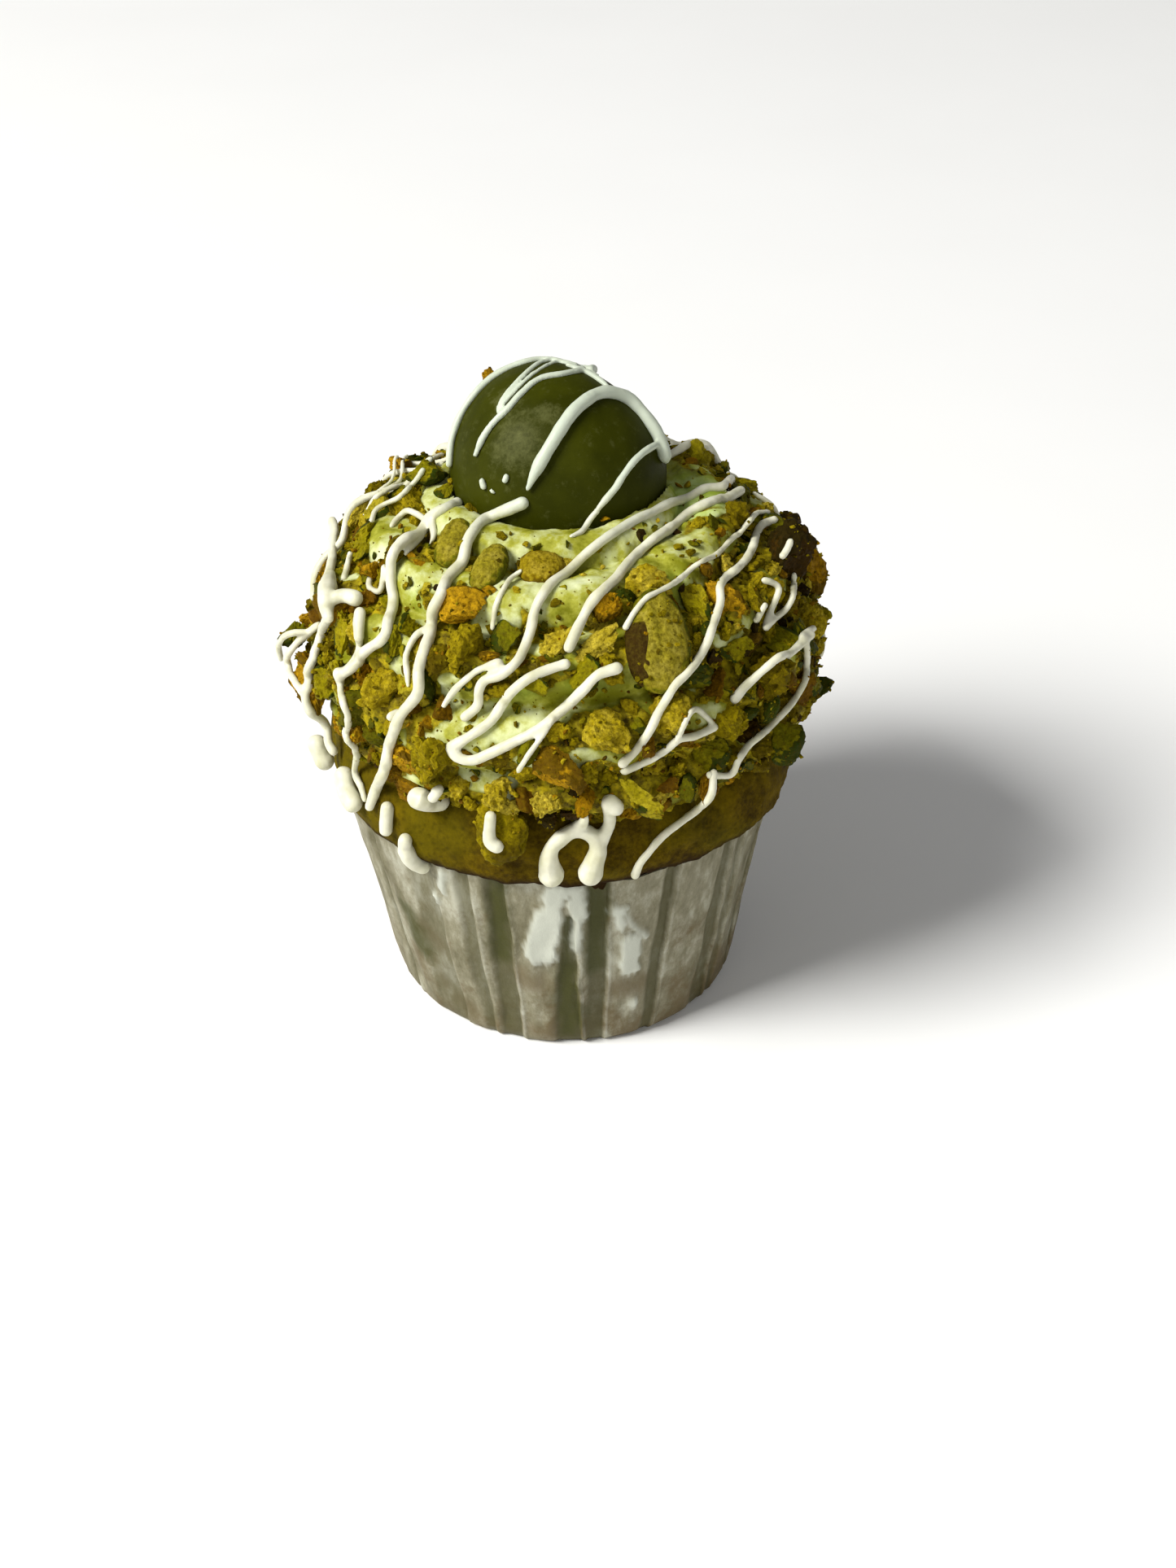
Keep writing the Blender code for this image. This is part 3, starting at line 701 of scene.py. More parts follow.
@dataclass(frozen=True)
class NutFinish:
    """Chopped pistachio, roasted: each piece has its own tint, skin is left on its round side, and the gaps
    between its grains get painted shade.
    """

    name: str
    tints: tuple[tuple[float, str], ...]
    # Darker colour for the random mottling, and painted shade in the gaps between the grains.
    mottle_and_gap_shade: str
    skin: str
    mottle_size: float = 1.4
    grit: float = 0.5
    depth: float = 0.25
    gloss: float = 0.5
    granular: float = 0.3
    grain: float = 0.6

    def make(self) -> bpy.types.Material:
        """Build the material.

        Returns:
            The material.
        """
        made, shader, place = start_material(
            self.name, Roughness=self.gloss, IOR=1.46, Specular_IOR_Level=0.08)
        tree = made.node_tree
        tint = add_node(tree, ATTRIBUTE, {"attribute_name": "tint"})
        skin = add_node(tree, ATTRIBUTE, {"attribute_name": "skin"})
        patches = add_node(tree, NOISE, inputs={
            "Vector": place, "Scale": per_mm(self.mottle_size), "Detail": 7.0, "Roughness": 0.7})
        drift = add_node(tree, MATH, {"operation": "MULTIPLY_ADD"}, {
            0: patches, 1: 0.9, 2: tint.outputs["Fac"]})
        shift = add_node(tree, MATH, {"operation": "SUBTRACT"}, {0: drift, 1: 0.45})
        own = add_node(tree, COLOUR_RAMP, inputs={"Fac": shift}, stops=self.tints)
        left = add_node(tree, MATH, {"operation": "ADD"}, {0: skin.outputs["Fac"], 1: patches})
        skinned = add_node(tree, MAP_RANGE, inputs={"Value": left, "From Min": 1.0, "From Max": 1.25})
        coated = add_node(tree, MIX, RGBA, {0: skinned, 6: own, 7: linear(self.skin)})
        grit = add_node(tree, NOISE, inputs={
            "Vector": place, "Scale": per_mm(self.grit), "Detail": 6.0, "Roughness": 0.75})
        mask = add_node(tree, MAP_RANGE, inputs={
            "Value": grit, "From Min": 0.55, "From Max": 0.35, "To Max": 0.7})
        mottled = add_node(tree, MIX, RGBA, {0: mask, 6: coated.outputs[2], 7: linear(self.mottle_and_gap_shade)})
        warp = add_node(tree, MIX, {"data_type": "VECTOR"}, {0: 0.0016, 4: place, 5: grit.outputs["Color"]})
        # Painted shade: the darker mottle colour is laid again into the gaps between the Voronoi grains.
        grains = add_node(tree, VORONOI, {"feature": "SMOOTH_F1"}, {
            "Vector": warp.outputs[1], "Scale": per_mm(self.grain), "Smoothness": 0.5})
        gaps = add_node(tree, MAP_RANGE, inputs={
            "Value": grains.outputs["Distance"], "From Min": 0.45, "From Max": 0.95, "To Max": self.granular})
        grain_gap_shade = add_node(tree, MIX, RGBA, {0: gaps, 6: mottled.outputs[2], 7: linear(self.mottle_and_gap_shade)})
        relief = add_node(tree, MATH, {"operation": "MULTIPLY_ADD"}, {
            0: grains.outputs["Distance"], 1: -0.9 * self.granular, 2: grit})
        bump = add_node(tree, BUMP, inputs={"Height": relief, "Strength": 0.8, "Distance": self.depth * MM})
        plug(shader, {"Base Color": grain_gap_shade.outputs[2], "Normal": bump})
        return made


NUT_FINISHES = {
    Nut.CHIP: NutFinish(
        "pistachio_kernel", ((0.0, "444400"), (1.0, "b2a224"), (0.35, "6c6900"), (0.7, "908400")),
        "473b00", "2c3800", 1.8, 0.6, 0.3, 0.6, 0.25),
    Nut.CRUMB: NutFinish(
        "golden_nut_crumb", ((0.0, "5c4d00"), (1.0, "d3bd3c"), (0.4, "918100"), (0.75, "b8a114")),
        "4f3f00", "5d5e00", 1.6, 0.5, 0.5, 0.8, 0.6),
    Nut.TOASTED: NutFinish("toasted_nut", ((0.0, "5f4200"), (1.0, "c99c14"), (0.5, "9c7400")),
                           "4a3000", "6b5200", 1.5, 0.5, 0.4, 0.7, 0.45),
    Nut.SKIN: NutFinish("dark_nut_skin", ((0.0, "231700"), (1.0, "644e00"), (0.5, "3f2b00")),
                        "1a1100", "2c2200", 1.2, 0.5, 0.25, 0.7, 0.3),
}
WHOLE_KERNEL = NutFinish(
    "whole_pistachio_kernel", ((0.0, "3b4704"), (1.0, "ae9f40"), (0.4, "757206"), (0.75, "978a1e")),
    "51430a", "352403", 2.2, 0.55, 0.35, 0.65, 0.3)
HALF_KERNEL = NutFinish(
    "cut_pistachio_kernel", ((0.0, "4c3900"), (1.0, "b09a30"), (0.35, "7a6200"), (0.75, "94800c")),
    "4c3c02", "352403", 2.2, 0.55, 0.3, 0.6, 0.2)


@dataclass
class PaperCase:
    """The pleated paper case, open at the top, with a flat round base."""

    base_radius: float = 25.4
    rim_radius: float = 31.5
    rim_height: float = 34.3
    rim_shift: float = -0.85
    thickness: float = 0.25
    flat_share: float = 0.9
    icing_relief: float = 0.55
    crease_relief: float = 0.12
    foot_tuck: float = 0.8
    # Valleys that show, as all_valleys gives them. A daub is two ends and half a width, in mm.
    valleys: tuple[tuple[float, ...], ...] = (
        (-171, -168, -170, -168, 0.6, 1.1), (-160, -157, -160.5, -158, 0.5, 1.1),
        (-150.5, -147, -149.5, -147.5, 0.8, 1.1), (-134, -125.3, -135, -124, 0.6, 1.1),
        (-118, -113.1, -117, -113.6, 0.8, 1.1), (-108, -103.2, -111.5, -104, 1, 1.1),
        (-87.8, -87, -92.4, -83.8, 1.2, 0.82), (-82, -76.9, -82.6, -76.8, 1, 1.1),
        (-60.4, -57.3, -64.4, -60.4, 1, 1.1), (-40.5, -36, -43.6, -36.2, 0.8, 1.1),
        (-32.2, -29, -35, -31.5, 0.6, 1.1), (-19, -15.5, -20.5, -17.5, 0.7, 1.1),
        (-6, -3, -7, -4.5, 0.6, 1.1))
    back_step: Spot = (10.0, 16.0)
    back_width: Spot = (2.0, 6.5)
    depth: Spot = (0.16, 0.4)
    soft: float = 1.3
    smears: tuple[tuple[float, ...], ...] = (
        (-90, 33, -92.5, 27, 1.6), (-92.5, 27, -95.5, 20, 2.3), (-90, 32.6, -85.5, 32.4, 1.2),
        (-85.5, 33, -84.5, 28, 1.3), (-84.5, 28, -85.6, 21, 0.7), (-73.9, 28.3, -73.6, 25, 0.95),
        (-72.4, 27.3, -70, 24.4, 0.35), (-70, 24.4, -65, 21, 0.35), (-70, 21, -69.4, 15.5, 1.7),
        (-125.1, 26.9, -125, 26.5, 0.6), (-67.8, 7.8, -67.6, 7.2, 0.6), (-121, 33, -122, 29, 0.5))
    stains: tuple[tuple[float, ...], ...] = (
        (-87.4, 27, -88.2, 17, 0.7), (-88.2, 17, -88.4, 3, 1.7), (-79.6, 32.5, -80.2, 17, 1.8),
        (-105.6, 32.5, -107.5, 18, 1.6), (-86, 9, -85.4, 5, 1.5), (-139.5, 20, -137, 13, 1.8))
    browned: tuple[tuple[float, ...], ...] = (
        (-134, 18, -129, 16, 1.7), (-102, 14.8, -97, 13.5, 2.1), (-73, 11.5, -66, 11, 2.2),
        (-126, 5, -121, 4, 1.7), (-131, 8.6, -130.4, 7, 0.9), (-101, 3, -95, 2.5, 1.6))
    segments: int = 720
    levels: int = 42
    finish: GreaseproofPaper = field(default_factory=GreaseproofPaper)

    def all_valleys(self) -> list[tuple[float, ...]]:
        """Valleys between the pleats: the front ones as they show, the back ones by rule.

        Returns:
            Start and end azimuth at the rim, the same at the base, strength and how far up it reaches.
        """
        rng = random.Random(3)
        made = list(self.valleys)
        azimuth = 6.0
        while azimuth < 172.0:
            wide = rng.uniform(*self.back_width)
            taper = rng.uniform(0.3, 1.0)
            made.append((azimuth, azimuth + wide, azimuth + rng.uniform(-1.0, 1.0), azimuth + wide * taper,
                         rng.uniform(0.5, 1.0), 1.1))
            azimuth += rng.uniform(*self.back_step)
        return made

    def fold(self, azimuth: float, share: float, valleys: Sequence[tuple[float, ...]]) -> Spot:
        """How the paper is folded at a place.

        Args:
            azimuth: Degrees.
            share: Share of the way from the base to the rim.
            valleys: The valleys between the pleats.

        Returns:
            1 on a pleat down to -1 in a valley, and 1 on the sharp crease where a pleat starts.
        """
        wander = 0.9 * noise.noise(Vector((azimuth * 0.05, share * 3.0, 7.0)))
        wander += 0.5 * noise.noise(Vector((azimuth * 0.2, share * 9.0, 1.0)))
        azimuth = (azimuth + wander + 180.0) % 360.0 - 180.0
        out, crease = 1.0, 0.0
        for start_top, end_top, start_low, end_low, firm, top in valleys:
            start = start_low + (start_top - start_low) * share
            end = end_low + (end_top - end_low) * share
            if not start - 3.0 < azimuth < end + 3.0:
                continue
            firm *= ramp(share, top + 0.01, top - 0.04)
            inside = ramp(azimuth, start - self.soft, start + self.soft) * ramp(azimuth, end + 0.4, end - 0.4)
            out = min(out, 1.0 - 2.0 * firm * inside)
            crease = max(crease, firm * ramp(abs(azimuth - end - 0.9), 1.1, 0.2))
        return max(-1.2, out), min(1.0, crease)

    def daubed(self, daubs: Sequence[tuple[float, ...]], azimuth: float, height: float, soft: float) -> float:
        """How thickly something is daubed on the paper at a place.

        Args:
            daubs: Start, end and half-width of each daub, as azimuth and height.
            azimuth: Degrees.
            height: Millimetres.
            soft: Millimetres over which the edge fades, each way.

        Returns:
            From 0 to 1.
        """
        ragged = 0.8 * noise.noise(Vector((azimuth * 0.3, height * 0.45, 11.0)))
        ragged += 0.5 * noise.noise(Vector((azimuth * 0.9, height * 1.4, 3.0)))
        best = 0.0
        for a0, z0, a1, z1, wide in daubs:
            across = math.radians(a1 - a0) * self.rim_radius
            length = across ** 2 + (z1 - z0) ** 2
            gone = math.radians(azimuth - a0) * self.rim_radius
            share = max(0.0, min(1.0, (gone * across + (height - z0) * (z1 - z0)) / length))
            away = math.hypot(gone - share * across, height - z0 - share * (z1 - z0))
            best = max(best, ramp(away + ragged * min(1.0, wide), wide + soft, wide - soft))
        return best

    def build(self) -> bpy.types.Object:
        """Model and dress the case.

        Returns:
            The finished piece.
        """
        bpy.ops.mesh.primitive_circle_add(vertices=self.segments, radius=self.base_radius, fill_type="TRIFAN")
        case = bpy.context.object
        with editing(case):
            bpy.ops.mesh.select_all(action="SELECT")
            bpy.ops.mesh.normals_make_consistent(inside=False)
            bpy.ops.mesh.select_mode(type="EDGE")
            bpy.ops.mesh.select_all(action="DESELECT")
            bpy.ops.mesh.select_non_manifold()
            for _ in range(self.levels):
                bpy.ops.mesh.extrude_region_move(
                    TRANSFORM_OT_translate={"value": (0.0, 0.0, self.rim_height / self.levels)})
        valleys = self.all_valleys()
        kept: dict[str, list[float]] = {"fold": [], "crease": [], "iced": [], "stain": [], "browned": []}

        def pleated(co: Vector) -> Vector:
            """A point's place on the pleats, its marks kept on the way.

            Args:
                co: The point.

            Returns:
                Its new place.
            """
            azimuth = math.degrees(math.atan2(co.y, co.x))
            share = co.z / self.rim_height
            if math.hypot(co.x, co.y) < self.base_radius * self.flat_share:
                for values in kept.values():
                    values.append(0.0)
                return co.copy()
            out, crease = self.fold(azimuth, share, valleys)
            film = self.daubed(self.smears, azimuth, co.z, 0.6)
            # The fold mark also carries the paper's painted shade in the valleys, and the crease mark its
            # painted highlight.
            kept["fold"].append(0.5 + 0.5 * out)
            kept["crease"].append(crease)
            kept["iced"].append(0.85 * film)
            kept["stain"].append(0.85 * self.daubed(self.stains, azimuth, co.z, 1.4))
            kept["browned"].append(1.2 * self.daubed(self.browned, azimuth, co.z, 1.8))
            a = math.radians(azimuth)
            ring = Vector((math.cos(a), math.sin(a), 0.0)) * 6.0
            crinkle = 0.55 * noise.noise(ring + Vector((0.0, 0.0, share * 1.6)))
            crinkle += 0.2 * noise.noise(ring * 3.0 + Vector((0.0, 0.0, share * 7.0)))
            radius = self.base_radius + (self.rim_radius - self.base_radius) * share
            depth = self.depth[0] + (self.depth[1] - self.depth[0]) * share
            radius += (depth * out + self.crease_relief * crease + crinkle * min(1.0, share * 8.0)
                       + self.icing_relief * film)
            radius -= self.foot_tuck * ramp(share, 0.035, 0.0)
            lift = 0.45 * noise.noise(ring * 1.2) * ramp(share, 0.8, 1.0)
            across = radius * math.cos(a) + self.rim_shift * share
            return Vector((across, radius * math.sin(a), co.z + lift))

        reshape(case, pleated)
        for name, values in kept.items():
            mark(case, name, values)
        with editing(case):
            bpy.ops.mesh.select_all(action="SELECT")
            bpy.ops.mesh.normals_make_consistent(inside=False)
        finish_modifier(case, "SOLIDIFY", thickness=self.thickness, offset=-1.0)
        return finish_piece(case, "greaseproof_case", self.finish.make(),
                            ("paper_case",), 30.0)


@dataclass
class Cake:
    """The baked cake: it fills the case and domes over it in a thick, rounded lip."""

    foot: Spot = (23.9, 1.5)
    at_rim: Spot = (29.9, 32.5)
    steps: int = 400
    lip_start: float = 33.0
    lip_facet: float = 0.6
    side_facet: float = 8.0
    rim_height: float = 34.2
    rim_shift: float = -0.85
    relief: tuple[Spot, ...] = ((4.5, 0.9), (1.6, 0.45), (0.7, 0.2))
    finish: BakedSponge = field(default_factory=BakedSponge)

    def profile(self) -> list[Vector]:
        """Lay out the side from the foot to the top, with its points close together on the lip.

        Returns:
            The points, in the plane of X and Z.
        """
        corners = [(0.0, self.foot[1]), self.foot, self.at_rim, *FOOD.lip]
        points: list[Vector] = []
        for (r0, z0), (r1, z1) in zip(corners[:-1], corners[1:]):
            facet = self.lip_facet if z1 > self.lip_start and r1 > 25.0 else self.side_facet
            parts = max(1, round(math.hypot(r1 - r0, z1 - z0) / facet))
            points += [Vector((r0 + (r1 - r0) * i / parts, 0.0, z0 + (z1 - z0) * i / parts))
                       for i in range(parts)]
        points.append(Vector((corners[-1][0], 0.0, corners[-1][1])))
        for _ in range(6):
            inner = [points[i] * 0.5 + (points[i - 1] + points[i + 1]) * 0.25
                     for i in range(1, len(points) - 1)]
            points = [points[0], *inner, points[-1]]
        return points

    def build(self) -> bpy.types.Object:
        """Model and dress the cake.

        Returns:
            The finished piece.
        """
        points = self.profile()
        mesh = bpy.data.meshes.new("cake_side")
        mesh.from_pydata(points, [(i, i + 1) for i in range(len(points) - 1)], [])
        cake = bpy.data.objects.new("cake_side", mesh)
        bpy.context.scene.collection.objects.link(cake)
        with editing(cake):
            bpy.ops.mesh.select_all(action="SELECT")
            bpy.ops.mesh.spin(steps=self.steps, angle=math.tau, center=(0.0, 0.0, 0.0), axis=(0.0, 0.0, 1.0))
            bpy.ops.mesh.select_all(action="SELECT")
            bpy.ops.mesh.remove_doubles(threshold=0.01)
            bpy.ops.mesh.normals_make_consistent(inside=False)

        def risen(co: Vector) -> Vector:
            """A point's place on the lip, or on the side that leans with the case.

            Args:
                co: The point.

            Returns:
                Its new place.
            """
            if co.z < self.lip_start:
                return Vector((co.x + self.rim_shift * co.z / self.rim_height, co.y, co.z))
            a = math.atan2(co.y, co.x)
            wave = 0.28 * math.sin(3 * a + 1.0) + 0.22 * math.sin(7 * a)
            wave += 0.5 * noise.noise(co * 0.12)
            wave += 1.4 * math.exp(-(((math.degrees(a) + 22.0) / 38.0) ** 2))
            wave *= min(1.0, (53.5 - co.z) / 8.0) * ramp(co.z, self.lip_start, 36.5)
            flat = math.hypot(co.x, co.y)
            scale = (flat + wave) / flat if flat > 1.0 else 1.0
            return Vector((co.x * scale + self.rim_shift, co.y * scale, co.z))

        reshape(cake, risen)
        roughen(cake, self.relief)
        return finish_piece(cake, "baked_cake", self.finish.make(), ("cake",), 60.0)


@dataclass
class CreamMound:
    """The piped mound: swirl ridges blurred by the palette knife and torn by the nuts."""

    segments: int = 440
    rings: int = 216
    gap: float = 0.25
    skirt: float = -11.0
    skirt_radius: float = 31.3
    relief: tuple[Spot, ...] = ((7.0, 1.6), (2.8, 0.75))
    crust_relief: tuple[Spot, ...] = ((1.3, 1.5), (0.6, 0.45))
    finish: PistachioCream = field(default_factory=PistachioCream)
    body: bpy.types.Object | None = None

    def level(self, elevation: float) -> float:
        """Crowd the rings where the mound shows.

        Args:
            elevation: A ring's elevation on the sphere.

        Returns:
            Its elevation on the mound.
        """
        share = (elevation + 90.0) / 180.0
        return float(np.interp(share, [0.0, 0.08, 0.93, 1.0], [-90.0, self.skirt, 66.0, 90.0]))

    def green_tint_and_glow(self, co: Vector) -> float:
        """How green the cream is at a place: most where the ball kept the crumbs off its right side, as a
        painted glow of light shining through the cream.

        Args:
            co: The place.

        Returns:
            From 0 to 1.
        """
        azimuth, elevation = angles(co - FOOD.centre)
        best = 0.0
        for spot_a, spot_e, wide, high, full in GREEN_SPOTS:
            away = math.hypot((azimuth - spot_a) / wide, (elevation - spot_e) / high)
            best = max(best, full * ramp(away, 1.2, 0.3))
        return best

    def build(self) -> bpy.types.Object:
        """Model the mound, still in millimetres.

        Returns:
            The piece, to be settled after the nuts and drizzle have been laid on it.
        """
        bpy.ops.mesh.primitive_uv_sphere_add(segments=self.segments, ring_count=self.rings, radius=1.0)
        body = bpy.context.object
        body.name = "cream"

        def piped(co: Vector) -> Vector:
            """A point's place on the mound, above its skirt.

            Args:
                co: The point.

            Returns:
                Its new place.
            """
            azimuth, elevation = angles(co)
            level = self.level(elevation)
            return FOOD.point(azimuth, level) if level > self.skirt else co.copy()

        low = [vert.index for vert in body.data.vertices if self.level(angles(vert.co)[1]) <= self.skirt]
        spots = {i: angles(body.data.vertices[i].co) for i in low}
        reshape(body, piped)
        for i in low:
            azimuth, elevation = spots[i]
            share = (self.level(elevation) + 90.0) / (self.skirt + 90.0)
            radius = self.skirt_radius * share
            place = unit(azimuth, 0.0) * radius
            body.data.vertices[i].co = Vector((place.x, place.y, FOOD.dome(radius) + self.gap))
        roughen(body, self.relief)
        bare = []
        for vert in body.data.vertices:
            azimuth, elevation = angles(vert.co - FOOD.centre)
            bare.append(FOOD.bare(azimuth, elevation))
        mark(body, "bare", bare)
        mark(body, "green", [self.green_tint_and_glow(vert.co) for vert in body.data.vertices])
        crusted = body.vertex_groups.new(name="crusted")
        for index, value in enumerate(bare):
            crusted.add([index], 1.0 - value, "REPLACE")
        roughen(body, self.crust_relief, "crusted")

        def pressed(co: Vector) -> Vector:
            """A point's place once it is clear of the ball and of the cake's dome.

            Args:
                co: The point.

            Returns:
                Its new place.
            """
            from_ball = co - BALL.centre
            room = BALL.radius + self.gap
            across = math.hypot(from_ball.x, from_ball.y)
            if from_ball.length < room and across < room:
                return Vector((co.x, co.y, BALL.centre.z - math.sqrt(room * room - across * across)))
            flat = math.hypot(co.x, co.y)
            if flat < 31.6 and co.z < 52.0:
                return Vector((co.x, co.y, max(co.z, FOOD.dome(flat) + self.gap)))
            return co.copy()

        reshape(body, pressed)
        self.body = body
        return body

    def settle(self) -> bpy.types.Object:
        """Finish the mound after everything has been laid on it."""
        return finish_piece(self.body, "piped_cream", self.finish.make(),
                            ("frosting",), 80.0)


@dataclass
class ChocolateBall:
    """The green chocolate ball, pressed halfway into the cream."""

    segments: int = 160
    rings: int = 90
    finish: GreenChocolate = field(default_factory=GreenChocolate)
    body: bpy.types.Object | None = None
    relief: tuple[Spot, ...] = ((9.0, 0.3), (3.0, 0.07))
    # Patches of bloom and scuffs, set on the upper left where the light falls, so that they also paint its
    # sheen.
    scuffs_and_sheen: tuple[tuple[float, ...], ...] = (
        (-118, 38, 22, 18), (-145, 58, 20, 10), (-100, 55, 16, 8))

    def bloom_and_sheen(self, direction: Vector) -> float:
        """How grey the ball is in a direction, with its bloom and scuffs: on the upper left, where the light
        falls, this is also a painted sheen.

        Args:
            direction: Direction from its centre.

        Returns:
            From 0 to 1.
        """
        azimuth, elevation = angles(direction)
        away = [math.hypot((azimuth - a) / wide, (elevation - e) / high)
                for a, e, wide, high in self.scuffs_and_sheen]
        return ramp(min(away), 1.3, 0.2)

    def build(self) -> bpy.types.Object:
        """Model the ball, still in millimetres.

        Returns:
            The piece.
        """
        bpy.ops.mesh.primitive_uv_sphere_add(segments=self.segments, ring_count=self.rings, radius=1.0)
        ball = bpy.context.object
        reshape(ball, lambda co: BALL.centre + co.normalized() * BALL.reach(co.normalized()))
        mark(ball, "bloom_and_sheen", [self.bloom_and_sheen(vert.co - BALL.centre) for vert in ball.data.vertices])
        roughen(ball, self.relief)
        self.body = ball
        return ball

    def settle(self) -> bpy.types.Object:
        """Finish the ball."""
        return finish_piece(self.body, "green_ball", self.finish.make(),
                            ("chocolate_ball",), 80.0)


@dataclass(frozen=True)
class Bit:
    """One chopped piece at its place on the mound."""

    kind: Nut
    azimuth: float
    elevation: float
    width: float
    height: float
    turn: float = 0.0
    tint: float = 0.5
    lift: float = 0.4
    thick: float = 0.0


# The pieces that show, each with the values of a Bit in their order.
SEEN_BITS = tuple(Bit(*row) for row in (
    (Nut.CHIP, 168, 31, 3.4, 8.4, -12, 0.6, 1.6, 2.8), (Nut.CHIP, 172, 56.5, 4.4, 6.2, 5, 0.5, 1.8, 3.6),
    (Nut.TOASTED, -118, 40, 6.4, 5.2, 0, 0.95, 1.2, 4.4), (Nut.CRUMB, -134, 17, 6.8, 8.2, 10, 0.75, 1.2),
    (Nut.CRUMB, -114, 32, 6.6, 6.6, 30, 0.55, 1.0), (Nut.TOASTED, -167, 2, 8.0, 8.4, 20, 0.8, 2.2),
    (Nut.CHIP, -176, 8.5, 4.4, 4.6, 10, 0.3, 2.6), (Nut.CRUMB, -118, 7, 6.8, 9.0, 0, 0.45, 1.2),
    (Nut.TOASTED, -127, 3, 6.8, 6.6, 60, 0.9, 1.2), (Nut.TOASTED, -77, 42, 3.8, 4.2, 0, 0.6, 0.7),
    (Nut.TOASTED, -42, 36, 4.8, 7.0, 10, 0.95, 1.0), (Nut.CHIP, -50, 37, 3.8, 7.2, -5, 0.75, 0.9, 3.0),
    (Nut.SKIN, -10, 33, 7.0, 9.0, 0, 0.4, 1.6), (Nut.CRUMB, -37, 18, 7.6, 7.4, 15, 0.15, 1.0),
    (Nut.CRUMB, -80, 16, 6.6, 7.2, 40, 0.8, 1.2), (Nut.TOASTED, -90, 9, 7.4, 6.4, 0, 0.75, 1.4),
    (Nut.CRUMB, -66, 18, 6.6, 5.6, 20, 0.8, 1.0), (Nut.CHIP, -55, 5, 5.8, 7.2, 10, 0.5, 1.0),
    (Nut.CHIP, -74, 0, 8.0, 3.4, -32, 0.8, 1.6, 2.2), (Nut.TOASTED, 150, 42, 3.6, 3.6, 20, 0.9, 1.6),
    (Nut.TOASTED, -156.5, 36.7, 3.0, 3.0, 0, 0.9, 0.8), (Nut.CRUMB, -9, 46, 5.8, 4.8, 0, 0.2, 1.0),
    (Nut.CHIP, -15, 3, 5.0, 5.0, 40, 0.45, 0.6), (Nut.CRUMB, -81, 34, 7.4, 3.4, 20, 0.95, 0.9),
    (Nut.CRUMB, -119, 28, 4.4, 4.6, 0, 0.05, 0.9), (Nut.CRUMB, -91, 35, 6.0, 4.4, 10, 0.9, 0.9),
    (Nut.CRUMB, -31, 42, 3.4, 3.2, 0, 0.95, 0.8), (Nut.TOASTED, -41, 44, 3.0, 3.0, 0, 0.4, 0.8),
    (Nut.CHIP, -36, 50, 2.0, 1.8, 0, 0.4, 0.3), (Nut.CHIP, -134, 28, 4.0, 5.0, 20, 0.5, 0.6),
    (Nut.CHIP, -150, 23, 3.6, 6.4, 10, 0.7, 0.8), (Nut.CHIP, 172, 47, 3.0, 3.0, 0, 0.3, 1.6),
    (Nut.TOASTED, -151, 30.5, 4.0, 4.4, 0, 0.1, 0.2), (Nut.CHIP, -131, 32, 4.0, 4.2, 0, 0.6, 0.6),
    (Nut.TOASTED, -143, 3, 5.4, 5.2, 0, 0.75, 1.0), (Nut.TOASTED, -128, -6, 6.0, 4.6, 0, 0.3, 1.0),
    (Nut.CRUMB, -104, 1, 4.6, 5.0, 0, 0.85, 0.9), (Nut.TOASTED, -85, 0, 2.8, 4.2, 0, 0.5, 1.0),
    (Nut.CHIP, -46, 26, 6.0, 3.6, 0, 0.55, 0.8), (Nut.SKIN, -40, 25, 5.0, 3.6, 0, 0.75, 0.9),
    (Nut.CHIP, -21, 18, 5.0, 6.0, 0, 0.45, 1.0), (Nut.CRUMB, -52, 12, 5.0, 5.0, 0, 0.4, 0.8),
    (Nut.TOASTED, -67, 1, 3.0, 3.0, 0, 0.1, 0.7), (Nut.CRUMB, -91, 17, 4.0, 3.4, 0, 0.6, 0.7),
    (Nut.CHIP, -105, 35, 4.6, 5.0, 0, 0.35, 0.6), (Nut.CHIP, -96, 26, 5.4, 3.8, 15, 0.55, 0.6),
    (Nut.SKIN, -93.5, -5.5, 4.2, 3.6, 0, 0.5, 0.5), (Nut.SKIN, -87.5, -4.5, 3.6, 3.0, 20, 0.3, 0.4),
    (Nut.TOASTED, -85, -6.5, 2.6, 3.4, 0, 0.3, 0.7), (Nut.TOASTED, 138.9, 72.4, 3.2, 2.4, 0, 0.6, 13.0),
    (Nut.TOASTED, -59.8, 68.5, 1.6, 2.4, 30, 0.8, 0.3),
))


@dataclass(frozen=True)
class Grade:
    """A grade of chopped nut: how many pieces, how wide, and how many faces a pattern has."""

    count: int
    small: float
    large: float
    faces: int


